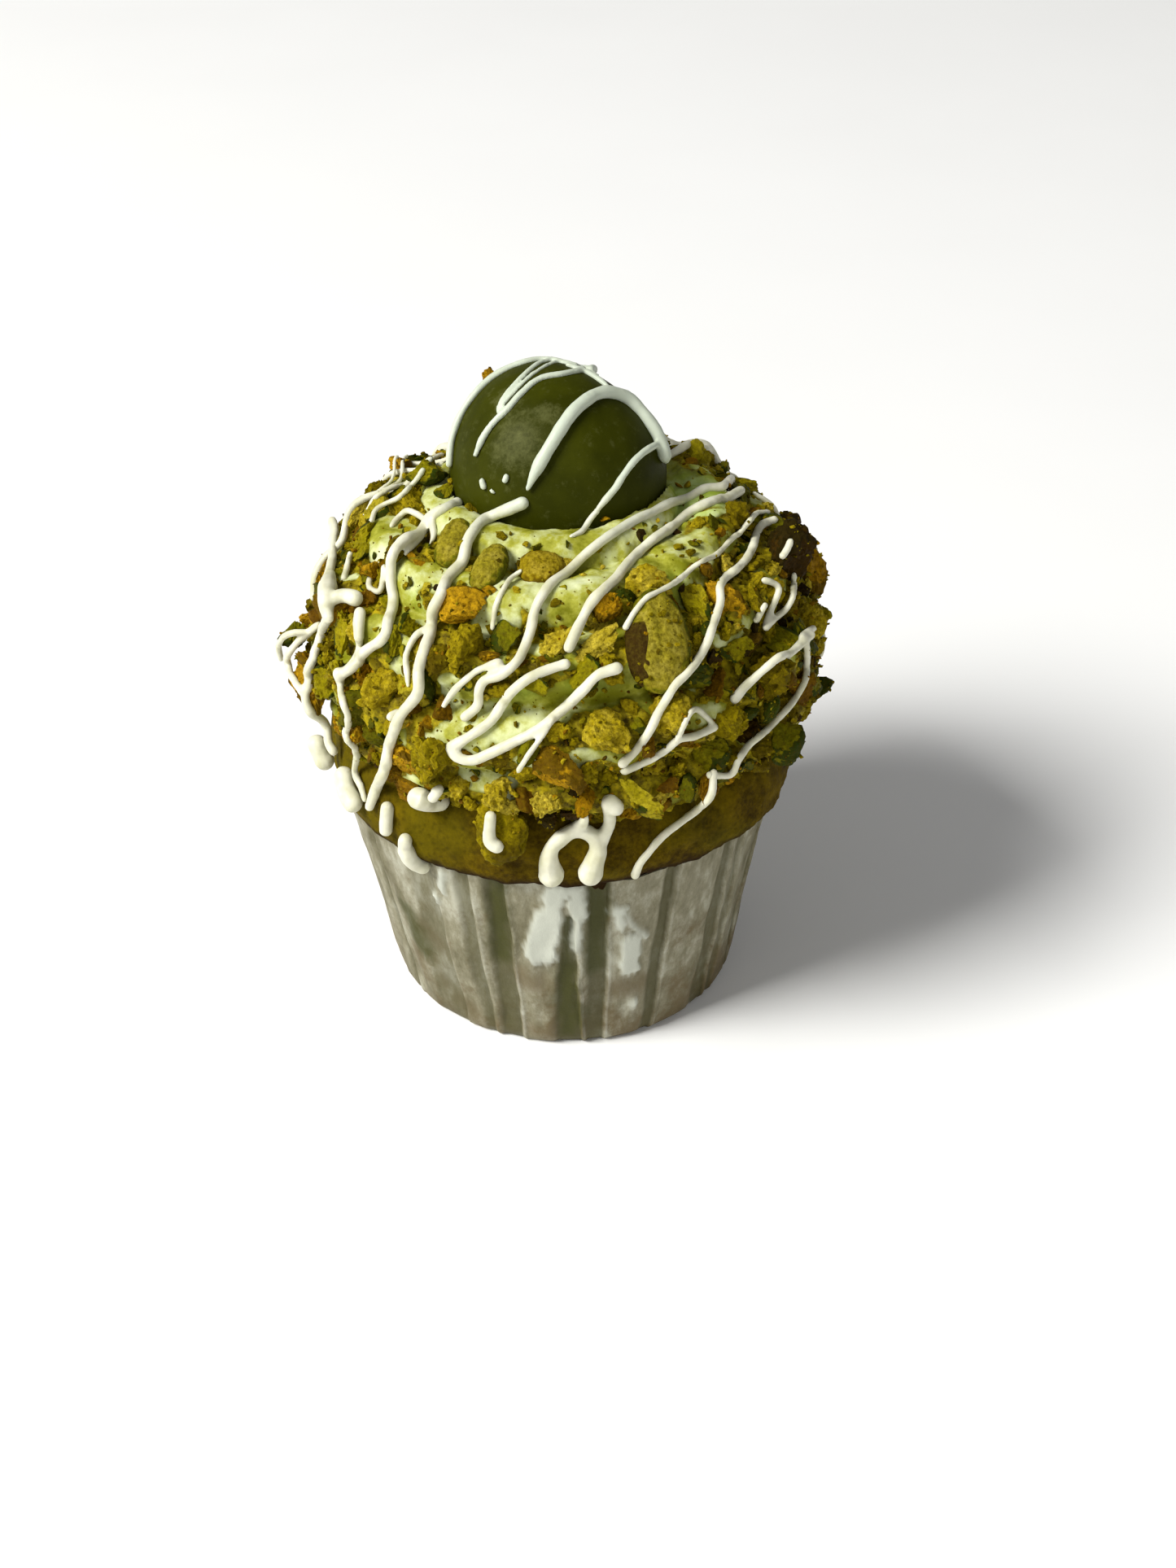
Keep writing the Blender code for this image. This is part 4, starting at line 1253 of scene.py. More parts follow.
@dataclass
class ChoppedNuts:
    """Chopped pistachios and crumbs: the large ones where they show, the rest by rule."""

    seed: int = 41
    shapes_of_each: int = 6
    grades: tuple[Grade, ...] = (
        Grade(150, 4.0, 7.0, 1000), Grade(260, 2.4, 4.0, 360), Grade(760, 0.9, 2.4, 100))
    voxel: float = 0.03
    cuts: dict[Nut, int] = field(default_factory=lambda: {Nut.CHIP: 5, Nut.TOASTED: 7, Nut.SKIN: 4})
    rough: dict[Nut, float] = field(default_factory=lambda: {
        Nut.CHIP: 1.0, Nut.CRUMB: 1.3, Nut.TOASTED: 1.2, Nut.SKIN: 1.5})
    crumb_lobes: int = 7
    crumb_grains: int = 80
    pieces: dict[Nut, bpy.types.Object] = field(default_factory=dict)

    def chunk(self, kind: Nut, rng: random.Random) -> bpy.types.Object:
        """Break a piece off a round kernel by flat cuts.

        Args:
            kind: What it is a piece of.
            rng: Draws for its cuts.

        Returns:
            The piece, about a millimetre across.
        """
        bpy.ops.mesh.primitive_ico_sphere_add(subdivisions=4, radius=0.5)
        lump = bpy.context.object
        self.broken(lump, rng, self.cuts[kind], (0.14, 0.33))
        return lump

    def broken(self, lump: bpy.types.Object, rng: random.Random, cuts: int, reach: Spot) -> None:
        """Break flat faces off a lump.

        Args:
            lump: The lump.
            rng: Draws for the cuts.
            cuts: How many.
            reach: Nearest and furthest distance of a cut from the lump's middle.
        """
        with editing(lump):
            for _ in range(cuts):
                away = unit(rng.uniform(-180.0, 180.0), rng.uniform(-50.0, 50.0))
                bpy.ops.mesh.select_all(action="SELECT")
                bpy.ops.mesh.bisect(plane_co=away * rng.uniform(*reach), plane_no=away,
                                    use_fill=True, clear_outer=True)

    def cluster(self, rng: random.Random) -> bpy.types.Object:
        """Heap grains into a crumb.

        Args:
            rng: Draws for its grains.

        Returns:
            The crumb, about a millimetre across.
        """
        grains = []
        for number in range(self.crumb_grains):
            lobe = number < self.crumb_lobes
            spot = Vector((rng.gauss(0.0, 1.0), rng.gauss(0.0, 1.0), rng.gauss(0.0, 1.0))).normalized()
            away = rng.random() ** 0.4 if lobe else 1.25
            spot = Vector((spot.x * 0.27, spot.y * 0.2, spot.z * 0.15)) * away
            radius = rng.uniform(0.1, 0.22) if lobe else rng.uniform(0.03, 0.075)
            bpy.ops.mesh.primitive_ico_sphere_add(subdivisions=2, radius=radius, location=spot)
            grains.append(bpy.context.object)
        bpy.ops.object.select_all(action="DESELECT")
        for grain in grains:
            grain.select_set(True)
        bpy.context.view_layer.objects.active = grains[0]
        bpy.ops.object.join()
        lump = bpy.context.object
        lump.data.transform(lump.matrix_world)
        lump.matrix_world = Matrix.Identity(4)
        return lump

    def patterns(self, kind: Nut) -> list[list[bpy.types.Object]]:
        """Model a kind's patterns in every grade.

        Args:
            kind: What they are pieces of.

        Returns:
            For each grade its patterns, one millimetre across each way.
        """
        grades: list[list[bpy.types.Object]] = [[] for _ in self.grades]
        for number in range(self.shapes_of_each):
            rng = random.Random(f"{kind.value} {number}")
            lump = self.cluster(rng) if kind is Nut.CRUMB else self.chunk(kind, rng)
            away = Vector((number * 3.1, len(kind.value) * 1.7, 0.0))
            finish_modifier(lump, "REMESH", mode="VOXEL", voxel_size=self.voxel)
            if kind is Nut.CRUMB:
                self.broken(lump, rng, rng.choice((3, 4, 5)), (0.1, 0.22))
                finish_modifier(lump, "REMESH", mode="VOXEL", voxel_size=self.voxel)
            reshape(lump, lambda co: co + away)
            roughen(lump, ((0.3, 0.12 * self.rough[kind]), (0.09, 0.1 * self.rough[kind])))
            reshape(lump, lambda co: co - away)
            for grade, made in zip(self.grades, grades):
                shape = lump.copy()
                shape.data = lump.data.copy()
                bpy.context.scene.collection.objects.link(shape)
                share = grade.faces / (2.0 * len(lump.data.polygons))
                finish_modifier(shape, "DECIMATE", ratio=min(1.0, share))
                finish_modifier(shape, "TRIANGULATE")
                round_side = [ramp(vert.co.length, 0.44, 0.49) for vert in shape.data.vertices]
                mark(shape, "skin", round_side)
                low = Vector([min(v.co[i] for v in shape.data.vertices) for i in range(3)])
                high = Vector([max(v.co[i] for v in shape.data.vertices) for i in range(3)])
                middle, size = (low + high) / 2.0, high - low
                reshape(shape, lambda co: Vector([(co[i] - middle[i]) / size[i] for i in range(3)]))
                made.append(shape)
            bpy.data.objects.remove(lump)
        return grades

    def kind_here(self, rng: random.Random, azimuth: float, elevation: float) -> Nut:
        """Choose what lies at a place: more toasted to the left, darker to the right.

        Args:
            rng: Draws for the choice.
            azimuth: Degrees.
            elevation: Degrees.

        Returns:
            The kind.
        """
        right = max(0.0, math.cos(math.radians(azimuth)))
        left = max(0.0, -math.cos(math.radians(azimuth)))
        low = ramp(elevation, 32.0, 0.0)
        weights = (0.36, 0.36 + 0.1 * low, 0.12 + 0.2 * left * low + 0.06 * low,
                   0.02 + 0.13 * right + 0.04 * low)
        return rng.choices(list(Nut), weights)[0]

    def scattered(self) -> list[Bit]:
        """Fill in between the large pieces, the largest first.

        Returns:
            The pieces, the seen ones included.
        """
        rng = random.Random(self.seed)
        bits = list(SEEN_BITS)
        taken = [(FOOD.point(b.azimuth, b.elevation), (b.width + b.height) / 4.0) for b in bits]
        taken += [(FOOD.point(k.azimuth, k.elevation), k.length * 0.4) for k in KERNELS]
        taken.append((FOOD.point(*CLUMP_SPOT), 5.0))
        for grade in self.grades:
            placed = 0
            for _ in range(grade.count * 40):
                if placed >= grade.count:
                    break
                azimuth = rng.uniform(-180.0, 180.0)
                elevation = math.degrees(math.asin(rng.uniform(-0.15, 0.9)))
                width = rng.uniform(grade.small, grade.large)
                if FOOD.bare(azimuth, elevation) > 0.3 and rng.random() > (0.08 if width < 2.0 else 0.01):
                    continue
                place = FOOD.point(azimuth, elevation)
                if any((place - other).length < (room + width / 2.0) * 0.72 for other, room in taken):
                    continue
                kind = self.kind_here(rng, azimuth, elevation)
                taken.append((place, width / 2.0))
                bits.append(Bit(kind, azimuth, elevation, width, width * rng.uniform(0.5, 1.3),
                                rng.uniform(0.0, 360.0), rng.random(), width * rng.uniform(-0.05, 0.2)))
                placed += 1
        return bits

    def grade_of(self, bit: Bit) -> int:
        """Number of the grade that a piece belongs to."""
        width = max(bit.width, bit.height)
        return next((i for i, grade in enumerate(self.grades) if width >= grade.small), len(self.grades) - 1)

    def build(self) -> list[bpy.types.Object]:
        """Model the patterns and lay their copies on the mound.

        Returns:
            One piece for each kind, still in millimetres.
        """
        rng = random.Random(self.seed + 1)
        places: dict[Nut, list[tuple[int, Matrix, float]]] = {kind: [] for kind in Nut}
        for bit in self.scattered():
            thick = bit.thick or min(bit.width, bit.height) * rng.uniform(0.55, 1.0)
            if bit.kind is Nut.CHIP and not bit.thick:
                thick *= 0.75
            tilt = Matrix.Rotation(rng.uniform(-0.7, 0.7), 4, "X")
            tilt = tilt @ Matrix.Rotation(rng.uniform(-0.7, 0.7), 4, "Y")
            size = Matrix.Diagonal((bit.width, bit.height, thick, 1.0))
            place = FOOD.placing(bit.azimuth, bit.elevation, bit.lift, bit.turn) @ tilt @ size
            number = self.grade_of(bit) * self.shapes_of_each + rng.randrange(self.shapes_of_each)
            places[bit.kind].append((number, place, bit.tint))
        for kind, rows in places.items():
            shapes = [shape for grade in self.patterns(kind) for shape in grade]
            self.pieces[kind] = join_copies(kind.value, shapes, rows)
            for shape in shapes:
                bpy.data.objects.remove(shape)
        return list(self.pieces.values())

    def settle(self) -> None:
        """Finish the nuts, each kind as one piece."""
        for kind, piece in self.pieces.items():
            finish_piece(piece, kind.value, NUT_FINISHES[kind].make(), (), 35.0)


def join_copies(name: str, patterns: Sequence[bpy.types.Object],
                rows: Sequence[tuple[int, Matrix, float]]) -> bpy.types.Object:
    """Copy patterns to their places and join the copies into one mesh.

    Args:
        name: The joined piece's name.
        patterns: The shapes to copy, all of triangles.
        rows: For each copy its pattern's number, its placement and its tint.

    Returns:
        The joined piece, with a tint for each copy and the skin of its pattern.
    """
    stock = []
    for shape in patterns:
        points = np.array([vert.co for vert in shape.data.vertices])
        faces = np.array([tuple(face.vertices) for face in shape.data.polygons])
        skin = np.zeros(len(points), dtype=np.float32)
        if "skin" in shape.data.attributes:
            shape.data.attributes["skin"].data.foreach_get("value", skin)
        stock.append((points, faces, skin))
    points, faces, tints, skins, offset = [], [], [], [], 0
    for number, place, tint in rows:
        local, corners, skin = stock[number]
        turn = np.array(place)
        points.append(local @ turn[:3, :3].T + turn[:3, 3])
        faces.append(corners + offset)
        tints.append(np.full(len(local), tint))
        skins.append(skin)
        offset += len(local)
    mesh = bpy.data.meshes.new(name)
    mesh.from_pydata(np.concatenate(points).tolist(), [], np.concatenate(faces).tolist())
    joined = bpy.data.objects.new(name, mesh)
    bpy.context.scene.collection.objects.link(joined)
    mark(joined, "tint", np.concatenate(tints))
    mark(joined, "skin", np.concatenate(skins))
    return joined


@dataclass(frozen=True)
class Kernel:
    """A whole kernel at its place: a long egg shape with a crease along its back."""

    node: str
    azimuth: float
    elevation: float
    length: float
    width: float
    thick: float
    turn: float
    lift: float
    tint: float
    crust: float = 0.0
    finish: NutFinish = WHOLE_KERNEL
    relief: tuple[Spot, ...] = ((2.2, 0.5), (0.7, 0.22), (0.3, 0.12))

    def build(self) -> bpy.types.Object:
        """Model the kernel, still in millimetres.

        Returns:
            The piece.
        """
        bpy.ops.mesh.primitive_ico_sphere_add(subdivisions=6, radius=1.0)
        kernel = bpy.context.object
        tints, skins = [], []

        def grown(co: Vector) -> Vector:
            """A point's place on the kernel, its tint and skin kept on the way.

            Args:
                co: The point.

            Returns:
                Its new place.
            """
            slim = 1.0 - 0.16 * co.x
            crease = 0.08 * math.exp(-(((co.y - 0.1) / 0.14) ** 2)) if co.z > 0.2 else 0.0
            half = 0.5 if co.z > 0.0 else 0.4
            ragged = 0.2 * noise.noise(co * 4.0)
            rim = math.hypot(co.x * 0.85, co.y)
            tints.append(self.tint * (1.0 - 0.8 * ramp(rim + ragged, 0.72, 0.9)))
            skins.append(self.crust * ramp(co.y + ragged, 0.42, 0.55) * ramp(co.x, 0.45, 0.15))
            return Vector((co.x * self.length / 2.0, co.y * slim * self.width / 2.0,
                           (co.z - crease) * self.thick * half))

        reshape(kernel, grown)
        mark(kernel, "tint", tints)
        mark(kernel, "skin", skins)
        roughen(kernel, self.relief)
        kernel.data.transform(FOOD.placing(
            self.azimuth, self.elevation, self.lift, self.turn, FOOD.swirl_pitch / 2.0))
        return kernel


KERNELS = (
    Kernel("kernel_whole", -66.0, 33.0, 14.0, 8.8, 5.0, 78.0, 0.8, 0.8, 1.6),
    Kernel("kernel_front", -116.5, 50.5, 8.2, 4.8, 3.6, 96.0, 1.1, 0.75),
    Kernel("kernel_upper_left", -138.0, 53.5, 8.8, 4.8, 3.8, 122.0, 1.0, 0.75),
    Kernel("kernel_round", -98.0, 53.5, 6.4, 6.0, 3.4, 20.0, 1.0, 0.8, finish=HALF_KERNEL),
)
CLUMP_SPOT = (-103.0, -9.5)


@dataclass
class CrumbClump:
    """The large clump of crumbs that hangs from the mound over the cake's lip."""

    height: float = 13.0
    width: float = 9.8
    thick: float = 7.6
    lift: float = 3.6
    seed: int = 12
    lobes: int = 22
    grains: int = 130
    voxel: float = 0.028
    relief: tuple[Spot, ...] = ((1.8, 0.9), (0.8, 0.7), (0.35, 0.3))

    def build(self) -> bpy.types.Object:
        """Model the clump, still in millimetres.

        Returns:
            The piece.
        """
        rng = random.Random(self.seed)
        clump = ChoppedNuts(crumb_lobes=self.lobes, crumb_grains=self.grains).cluster(rng)
        finish_modifier(clump, "REMESH", mode="VOXEL", voxel_size=self.voxel)
        reshape(clump, lambda co: Vector((co.x * self.width, co.y * self.height, co.z * self.thick)))
        roughen(clump, self.relief)
        finish_modifier(clump, "DECIMATE", ratio=0.7)
        mark(clump, "tint", [0.34 + 0.5 * noise.noise(vert.co * 0.3) for vert in clump.data.vertices])
        mark(clump, "skin", [0.0] * len(clump.data.vertices))
        clump.data.transform(FOOD.placing(*CLUMP_SPOT, self.lift, 0.0))
        return clump


@dataclass
class Ground:
    """Everything that drizzle and crumbs can come to rest on."""

    trees: list[BVHTree] = field(default_factory=list)

    def add(self, thing: bpy.types.Object) -> None:
        """Take a piece into the ground."""
        bpy.context.view_layer.update()
        self.trees.append(BVHTree.FromObject(thing, bpy.context.evaluated_depsgraph_get()))

    def seen(self, place: Vector, most: float = 7.0) -> Vector | None:
        """Slide a place read off the photograph along the line of sight onto the food.

        Args:
            place: The place on the smooth form.
            most: How far it may slide.

        Returns:
            The place on the surface that shows there, or None where none is near.
        """
        sight = (place - EYE).normalized()
        hits = [hit for hit in (tree.ray_cast(EYE, sight)[0] for tree in self.trees) if hit is not None]
        nearest = min(hits, key=lambda hit: (hit - EYE).length, default=None)
        return nearest if nearest is not None and (nearest - place).length < most else None

    def front(self, place: Vector, wide: float, depth: float, most: float = 18.0) -> float:
        """How far off a strand may lie so that nothing hides it.

        Args:
            place: A place on the strand's line of sight.
            wide: The strand's width.
            depth: Its distance where nothing is in front of it.
            most: How far from the place what is in front of it may be.

        Returns:
            The distance from the eye.
        """
        found = [self.seen(place + Vector((wide * side, 0.0, 0.0)), most) for side in (-0.35, 0.0, 0.35)]
        return min([depth, *((hit - EYE).length for hit in found if hit)])

    def reach(self, heart: Vector, direction: Vector) -> tuple[float, Vector]:
        """Find the outermost surface in a direction.

        Args:
            heart: Where the direction starts.
            direction: Unit direction.

        Returns:
            The surface's distance from the heart and its normal.
        """
        best, facing = 0.0, direction
        for tree in self.trees:
            place, normal, _, _ = tree.ray_cast(heart + direction * 80.0, -direction)
            if place is not None and (place - heart).dot(direction) > best:
                best, facing = (place - heart).dot(direction), normal
        return best, facing


@dataclass(frozen=True)
class Strand:
    """One run of drizzle: its width, its way over the food and the size of its two ends."""

    width: float
    way: tuple[tuple[float, ...], ...]
    head: float = 1.0
    tail: float = 1.0
    on_ball: bool = False


# The values of a Strand in their order. A way is azimuth, elevation and, where it stands off, lift.
BALL_STRANDS = tuple(Strand(*row) for row in (
    (2.3, ((3, 6), (4, 16), (6, 25), (8, 33), (8, 41), (0, 50), (-18, 60), (-38, 63), (-55, 62), (-74, 57),
           (-85, 49.7), (-93, 40.5), (-99, 31.3), (-103, 23), (-106, 15.5)), 1.0, 0.42, True),
    (1.3, ((1, 5), (2, 11), (-6, 18), (-29, 24), (-42, 23), (-52, 18.5), (-59, 12.8), (-67, 6.5), (-70, 3)),
     1.2, 0.7, True),
    (1.2, ((40, 72), (20, 78), (-60, 84), (-134, 76), (-136, 63), (-137, 52), (-141, 42.5), (-143, 33),
           (-143.5, 24)), 0.8, 0.75, True),
    (1.0, ((78, 64), (95, 70), (137, 76), (-164, 70), (-151, 59), (-146, 49)), 0.9, 0.5, True),
    (0.8, ((40, 60), (60, 68), (94, 77), (-166, 78), (-147, 65), (-144, 54), (-143, 48)), 0.8, 0.6, True),
    (1.3, ((70, 62), (106, 65), (130, 59.5), (145, 52), (156, 43), (168, 33), (172, 22.4), (177, 13),
           (-179, 3)), 0.8, 1.0, True),
    (0.8, ((120, 68), (150, 60), (163, 50), (170, 40)), 0.7, 0.5, True),
    (1.2, ((60, 80), (20, 74), (0, 66), (-12, 60)), 0.8, 0.6, True),
    (1.2, ((-119, 19.4), (-119.5, 17.4)), 1.0, 0.9, True),
    (1.2, ((-134, 13), (-132.5, 10.6)), 1.1, 0.9, True),
    (0.8, ((-127, 10.2), (-125.5, 9.6)), 1.0, 0.9, True),
    (1.5, ((30, 70), (60, 52), (90, 38), (120, 26), (140, 14)), 1.0, 0.6, True),
    (1.3, ((20, 40), (50, 26), (80, 20), (110, 4)), 1.0, 0.7, True),
))
FRONT_STRANDS = tuple(Strand(*row) for row in (
    (1.1, ((-56, 73), (-67, 70.6), (-78, 65), (-85, 62.8)), 1.0, 0.8),
    (2.0, ((-136, 75), (-138, 70.8), (-143, 66.5), (-137, 61.2), (-134, 55.5), (-131, 50.5), (-127.5, 45),
           (-127, 40.3), (-128.5, 37.2), (-127.5, 34.4), (-125, 31.8), (-124.3, 29), (-124.5, 24.5),
           (-126, 18.4), (-127.5, 13.6), (-130.7, 7.3, -0.6), (-135, -0.4, -0.9), (-138, -6.7, 0.8),
           (-141, -12.6), (-142.5, -16.6), (-144, -19.6)), 1.2, 0.85),
    (1.2, ((-127, 34), (-128.5, 31.3), (-128.5, 29.3), (-128.5, 26.3), (-128, 22.8), (-129, 19.5)),
     1.0, 0.7),
    (1.7, ((32, 37), (18, 46), (8, 52.7), (3, 56), (-13, 61), (-31, 63), (-48, 63.5), (-69, 60.5),
           (-81, 56.7), (-88, 53), (-92, 50), (-95, 46.5), (-97.5, 42), (-98.5, 38), (-99.5, 33),
           (-101, 30), (-104, 27.5), (-107.5, 26), (-109, 23.5), (-110, 19.5), (-112, 17)), 1.0, 1.0),
    (1.8, ((24, 38), (17, 43), (0, 50.5), (-9, 55), (-23, 57), (-43, 57.2), (-56, 55.2), (-66, 51.5),
           (-71, 48.8), (-76, 46.5), (-81, 43.5), (-84.5, 39.5), (-88, 34)), 1.0, 1.05),
    (1.05, ((13, 34.6), (10, 37.6), (5, 39.4), (-1, 40.8), (-10, 43), (-17, 44.5), (-31, 45), (-38, 45.6),
            (-44, 45.5), (-50, 44.5), (-55, 43.8), (-60, 43.3), (-64, 42.7), (-68, 40.6), (-71.5, 37.5)),
     1.0, 1.15),
    (1.5, ((13, 32), (3, 37.4), (-3, 38.5), (-10, 38.7), (-18, 38.8), (-25, 39.1), (-30, 39.4), (-36, 38.7),
           (-41, 36.4), (-46, 34.2), (-50, 32), (-53, 29.6), (-56, 27.1), (-59, 24.7), (-62, 22.6),
           (-65, 20.3), (-68, 18.1), (-71, 14.8), (-74, 11), (-76.5, 7.5)), 1.0, 1.15),
    (1.35, ((-75.5, 4.5), (-70.5, 6.5), (-67, 9), (-64, 11.5), (-60, 11), (-55, 11.5)), 1.2, 1.0),
    (1.1, ((-64.5, 11.5), (-62.5, 15), (-59.5, 17), (-57, 14.5), (-55, 11.5)), 1.0, 1.0),
    (1.75, ((-89, 30.5), (-94, 29), (-98, 27), (-101.5, 24), (-104, 20.5), (-106, 17), (-110, 13.5),
            (-113.5, 10.5)), 1.05, 1.2),
    (1.8, ((-114, 10), (-113, 8), (-110, 7.5), (-106, 10), (-100.5, 13.5), (-95, 16.5), (-91, 19.5),
           (-87.5, 22.5), (-85, 25), (-81.5, 28), (-77, 29)), 1.2, 1.1),
    (1.0, ((-92, 18.5), (-94, 15.5), (-97, 11), (-99.5, 6)), 1.0, 1.0),
    (1.2, ((-105, 29.5), (-109, 28), (-112, 25.5), (-115.5, 22), (-118, 18)), 1.8, 0.9),
    (1.0, ((-107, 53), (-108, 48), (-109, 42), (-109.5, 37)), 0.8, 0.9),
    (1.9, ((-165, 61.6), (-161, 59.4), (-161, 56.8), (-163, 53.8), (-163, 50), (-158, 46.9), (-154, 44.2),
           (-151, 41.9), (-148, 39.9), (-146.5, 37.8), (-145, 35.3), (-142, 33.3), (-139, 31),
           (-136.8, 28.6), (-137.5, 26.5), (-140.5, 24), (-144.5, 20.9), (-148, 17.4), (-149, 14.5),
           (-150, 12.8)), 1.0, 0.8),
    (1.3, ((-163, 54.5), (-157, 53.4), (-153.5, 51.9), (-151, 49.8)), 1.0, 0.25),
    (1.0, ((-161, 50.5), (-153.5, 47.9), (-149, 44.8)), 0.8, 0.8),
    (1.2, ((-168, 52.3), (-178, 50), (179, 48), (-175, 46.8), (-169, 45.5)), 1.0, 0.8),
    (1.3, ((-151, 13.2), (-150, 11.2, -0.5), (-149, 7.6, -0.5), (-150, 1.3, 1.0), (-151, -3.7, 0.1),
           (-151, -8.7, 1.8), (-150, -13.2, 0.7), (-148, -16.5), (-146, -18.7)), 1.7, 0.9),
    (1.1, ((-152, 39.5), (-151, 36.4), (-152, 33.9), (-156, 33.1), (-160, 33.8)), 1.0, 1.1),
    (1.7, ((168, 29.5, 3.3), (172, 29.9, 2.5), (176, 29, 1.5), (-178, 28.3, 0.6), (-175, 26.7),
           (-172, 25.3), (-170, 23.6), (-169, 21.4), (-169, 18.6, 0.5), (-169, 15.4, 0.8),
           (-169, 10.9, -0.4), (-169, 7.2, 0.1), (-169, 4, 1.9), (-169, 0.8, 3.4), (-168, -1.7, 3.3),
           (-166, -4.7, 3.3), (-164, -7.5, 4), (-162, -11, 2.9), (-160, -12.5, 1.9)), 1.0, 1.0),
    (4.0, ((-174, 26.3, -0.2), (-171.5, 25, -0.3), (-169.6, 23, -0.3), (-169, 20.6, 0.1), (-169, 18, 0.6)),
     0.55, 0.5),
    (2.3, ((-167, 23.7, -0.7), (-162, 27.1, -0.7), (-158, 29, -0.2), (-155.5, 29.7, -0.3)), 1.0, 1.2),
    (1.2, ((-166, 29.8), (-170, 31, 0.3), (-177, 31.7, 0.4)), 1.0, 1.0),
    (1.4, ((-172, 14.2, 0.7), (-174, 10.2, 1), (-174, 7.2, 2.7), (-174, 4.2, 4.6), (-172, 1.6, 5.4),
           (-170, 0.1, 5), (-169, -1.1, 3.9)), 1.0, 1.0),
    (1.2, ((-178, 1.7, 6.6), (-178, 4.7, 5.6), (-177, 7.6, 4.1), (-176, 9.4, 2.5), (-175, 10.4, 0.9)),
     1.0, 0.9),
    (2.7, ((-148.7, 28.8), (-146.6, 27), (-145, 24.7)), 0.85, 0.7),
    (1.2, ((-145, 24.7), (-145.5, 21.7), (-149.6, 16.4), (-150.5, 13.4)), 1.3, 1.1),
    (1.5, ((-12, 13.7, 0.3), (-20, 16.2), (-27, 17.1), (-31, 18.2), (-36, 18.3), (-41, 17.9), (-45, 17.3),
           (-49, 16)), 1.0, 1.25),
    (1.3, ((-10, 14.2, 0.4), (-4, 9, 0.4), (-3, 5.5, 0.3), (-9, 4.2), (-14, 3.4), (-19, 3.4), (-26, 3.3),
           (-35, 3), (-39, 2.7), (-44, 2.2), (-48, 0.5), (-49, -3.5), (-49, -8)), 1.0, 1.0),
    (1.3, ((2, 30.5, 0.8), (-3, 31.5, 0.3), (-8, 32.4)), 1.0, 1.0),
    (1.2, ((2, 22.3), (-3, 22.5), (-9, 22.4), (-15, 22.8), (-21, 23.6), (-29, 24.7)), 1.0, 1.1),
    (1.2, ((-24, 33.8), (-22, 32.1), (-20.5, 30), (-24, 28.8), (-28, 27.6), (-30, 25.7)), 1.0, 1.0),
    (1.1, ((-30, 30.1), (-35, 28.7)), 1.0, 1.1),
    (1.0, ((134, 43), (142, 45), (151, 46.3), (158, 47.6), (167, 48.2), (173, 47.2), (176, 45),
           (176.5, 42.7), (177, 40.5), (178, 37.6)), 1.0, 0.7),
    (1.0, ((146, 44.2), (153, 45.5), (162, 46), (170, 45.5), (174, 43.7), (177, 42), (-177, 41.4)),
     1.0, 1.0),
    (0.8, ((147, 43.5), (155, 45.1), (164, 45.1), (168, 43.3), (169, 40.8), (169, 38.1)), 1.0, 0.6),
    (0.8, ((150, 43), (156, 43.6), (162, 43.1), (165, 41.1), (167, 38.6), (170, 37.5)), 1.0, 0.8),
    (0.7, ((150, 46), (160, 47), (166, 46.4), (171, 44.2)), 1.0, 0.7),
))
DRIPS = tuple(Strand(*row) for row in (
    (2.7, ((-92.6, -22.3), (-93.1, -18.6), (-92.3, -15.6), (-90.1, -13.2), (-87.5, -12), (-84.8, -12.1),
           (-82.5, -13.6), (-81.7, -16.4), (-82.6, -19.2), (-83.4, -22.2)), 1.6, 1.6),
    (2.4, ((-91.5, -14.6), (-87.5, -12), (-85.6, -11), (-84, -9.6)), 1.1, 0.3),
    (2.2, ((-78.3, -3.1), (-78.2, -7.4), (-78.6, -11), (-80.2, -13.1), (-81.7, -16.1)), 1.35, 1.2),
    (1.4, ((-47.5, -8), (-51, -11), (-55, -12.2), (-61, -13.8), (-66.1, -15.9), (-69.6, -18.9),
           (-71.7, -21.5), (-72.5, -24.6)), 1.0, 1.25),
    (2.1, ((-107.5, -10.6), (-107.3, -13), (-107, -15.6), (-105.4, -16.4)), 0.95, 1.15),
    (4.0, ((-127.5, -11.2), (-124.4, -11.1), (-121.5, -10.3)), 0.95, 0.9),
    (2.2, ((-123.5, -10), (-121.5, -7), (-119.5, -3.5)), 1.0, 0.6),
    (2.4, ((-136.7, -16.6), (-137.2, -19.8), (-138, -22.9)), 1.0, 1.0),
    (5.0, ((-161, -21, -0.1), (-160, -23.4, 0.1), (-159, -25.2, 0.2), (-158, -26.6, 0.2)), 0.8, 0.8),
    (4.4, ((-167, -14, 3.3), (-166, -15.6, 2.8), (-165, -17.3, 2.2)), 0.9, 0.9),
    (3.0, ((-131, -22.6), (-132, -24.8)), 0.95, 0.85),
    (3.3, ((-132.3, -26.6), (-130.6, -27.2, 0.5), (-128.2, -27.4, 0.8), (-126.2, -27.4, 0.8)), 0.95, 0.9),
    (1.9, ((-128.5, 13.5), (-130, 12.3)), 0.9, 0.9),
))


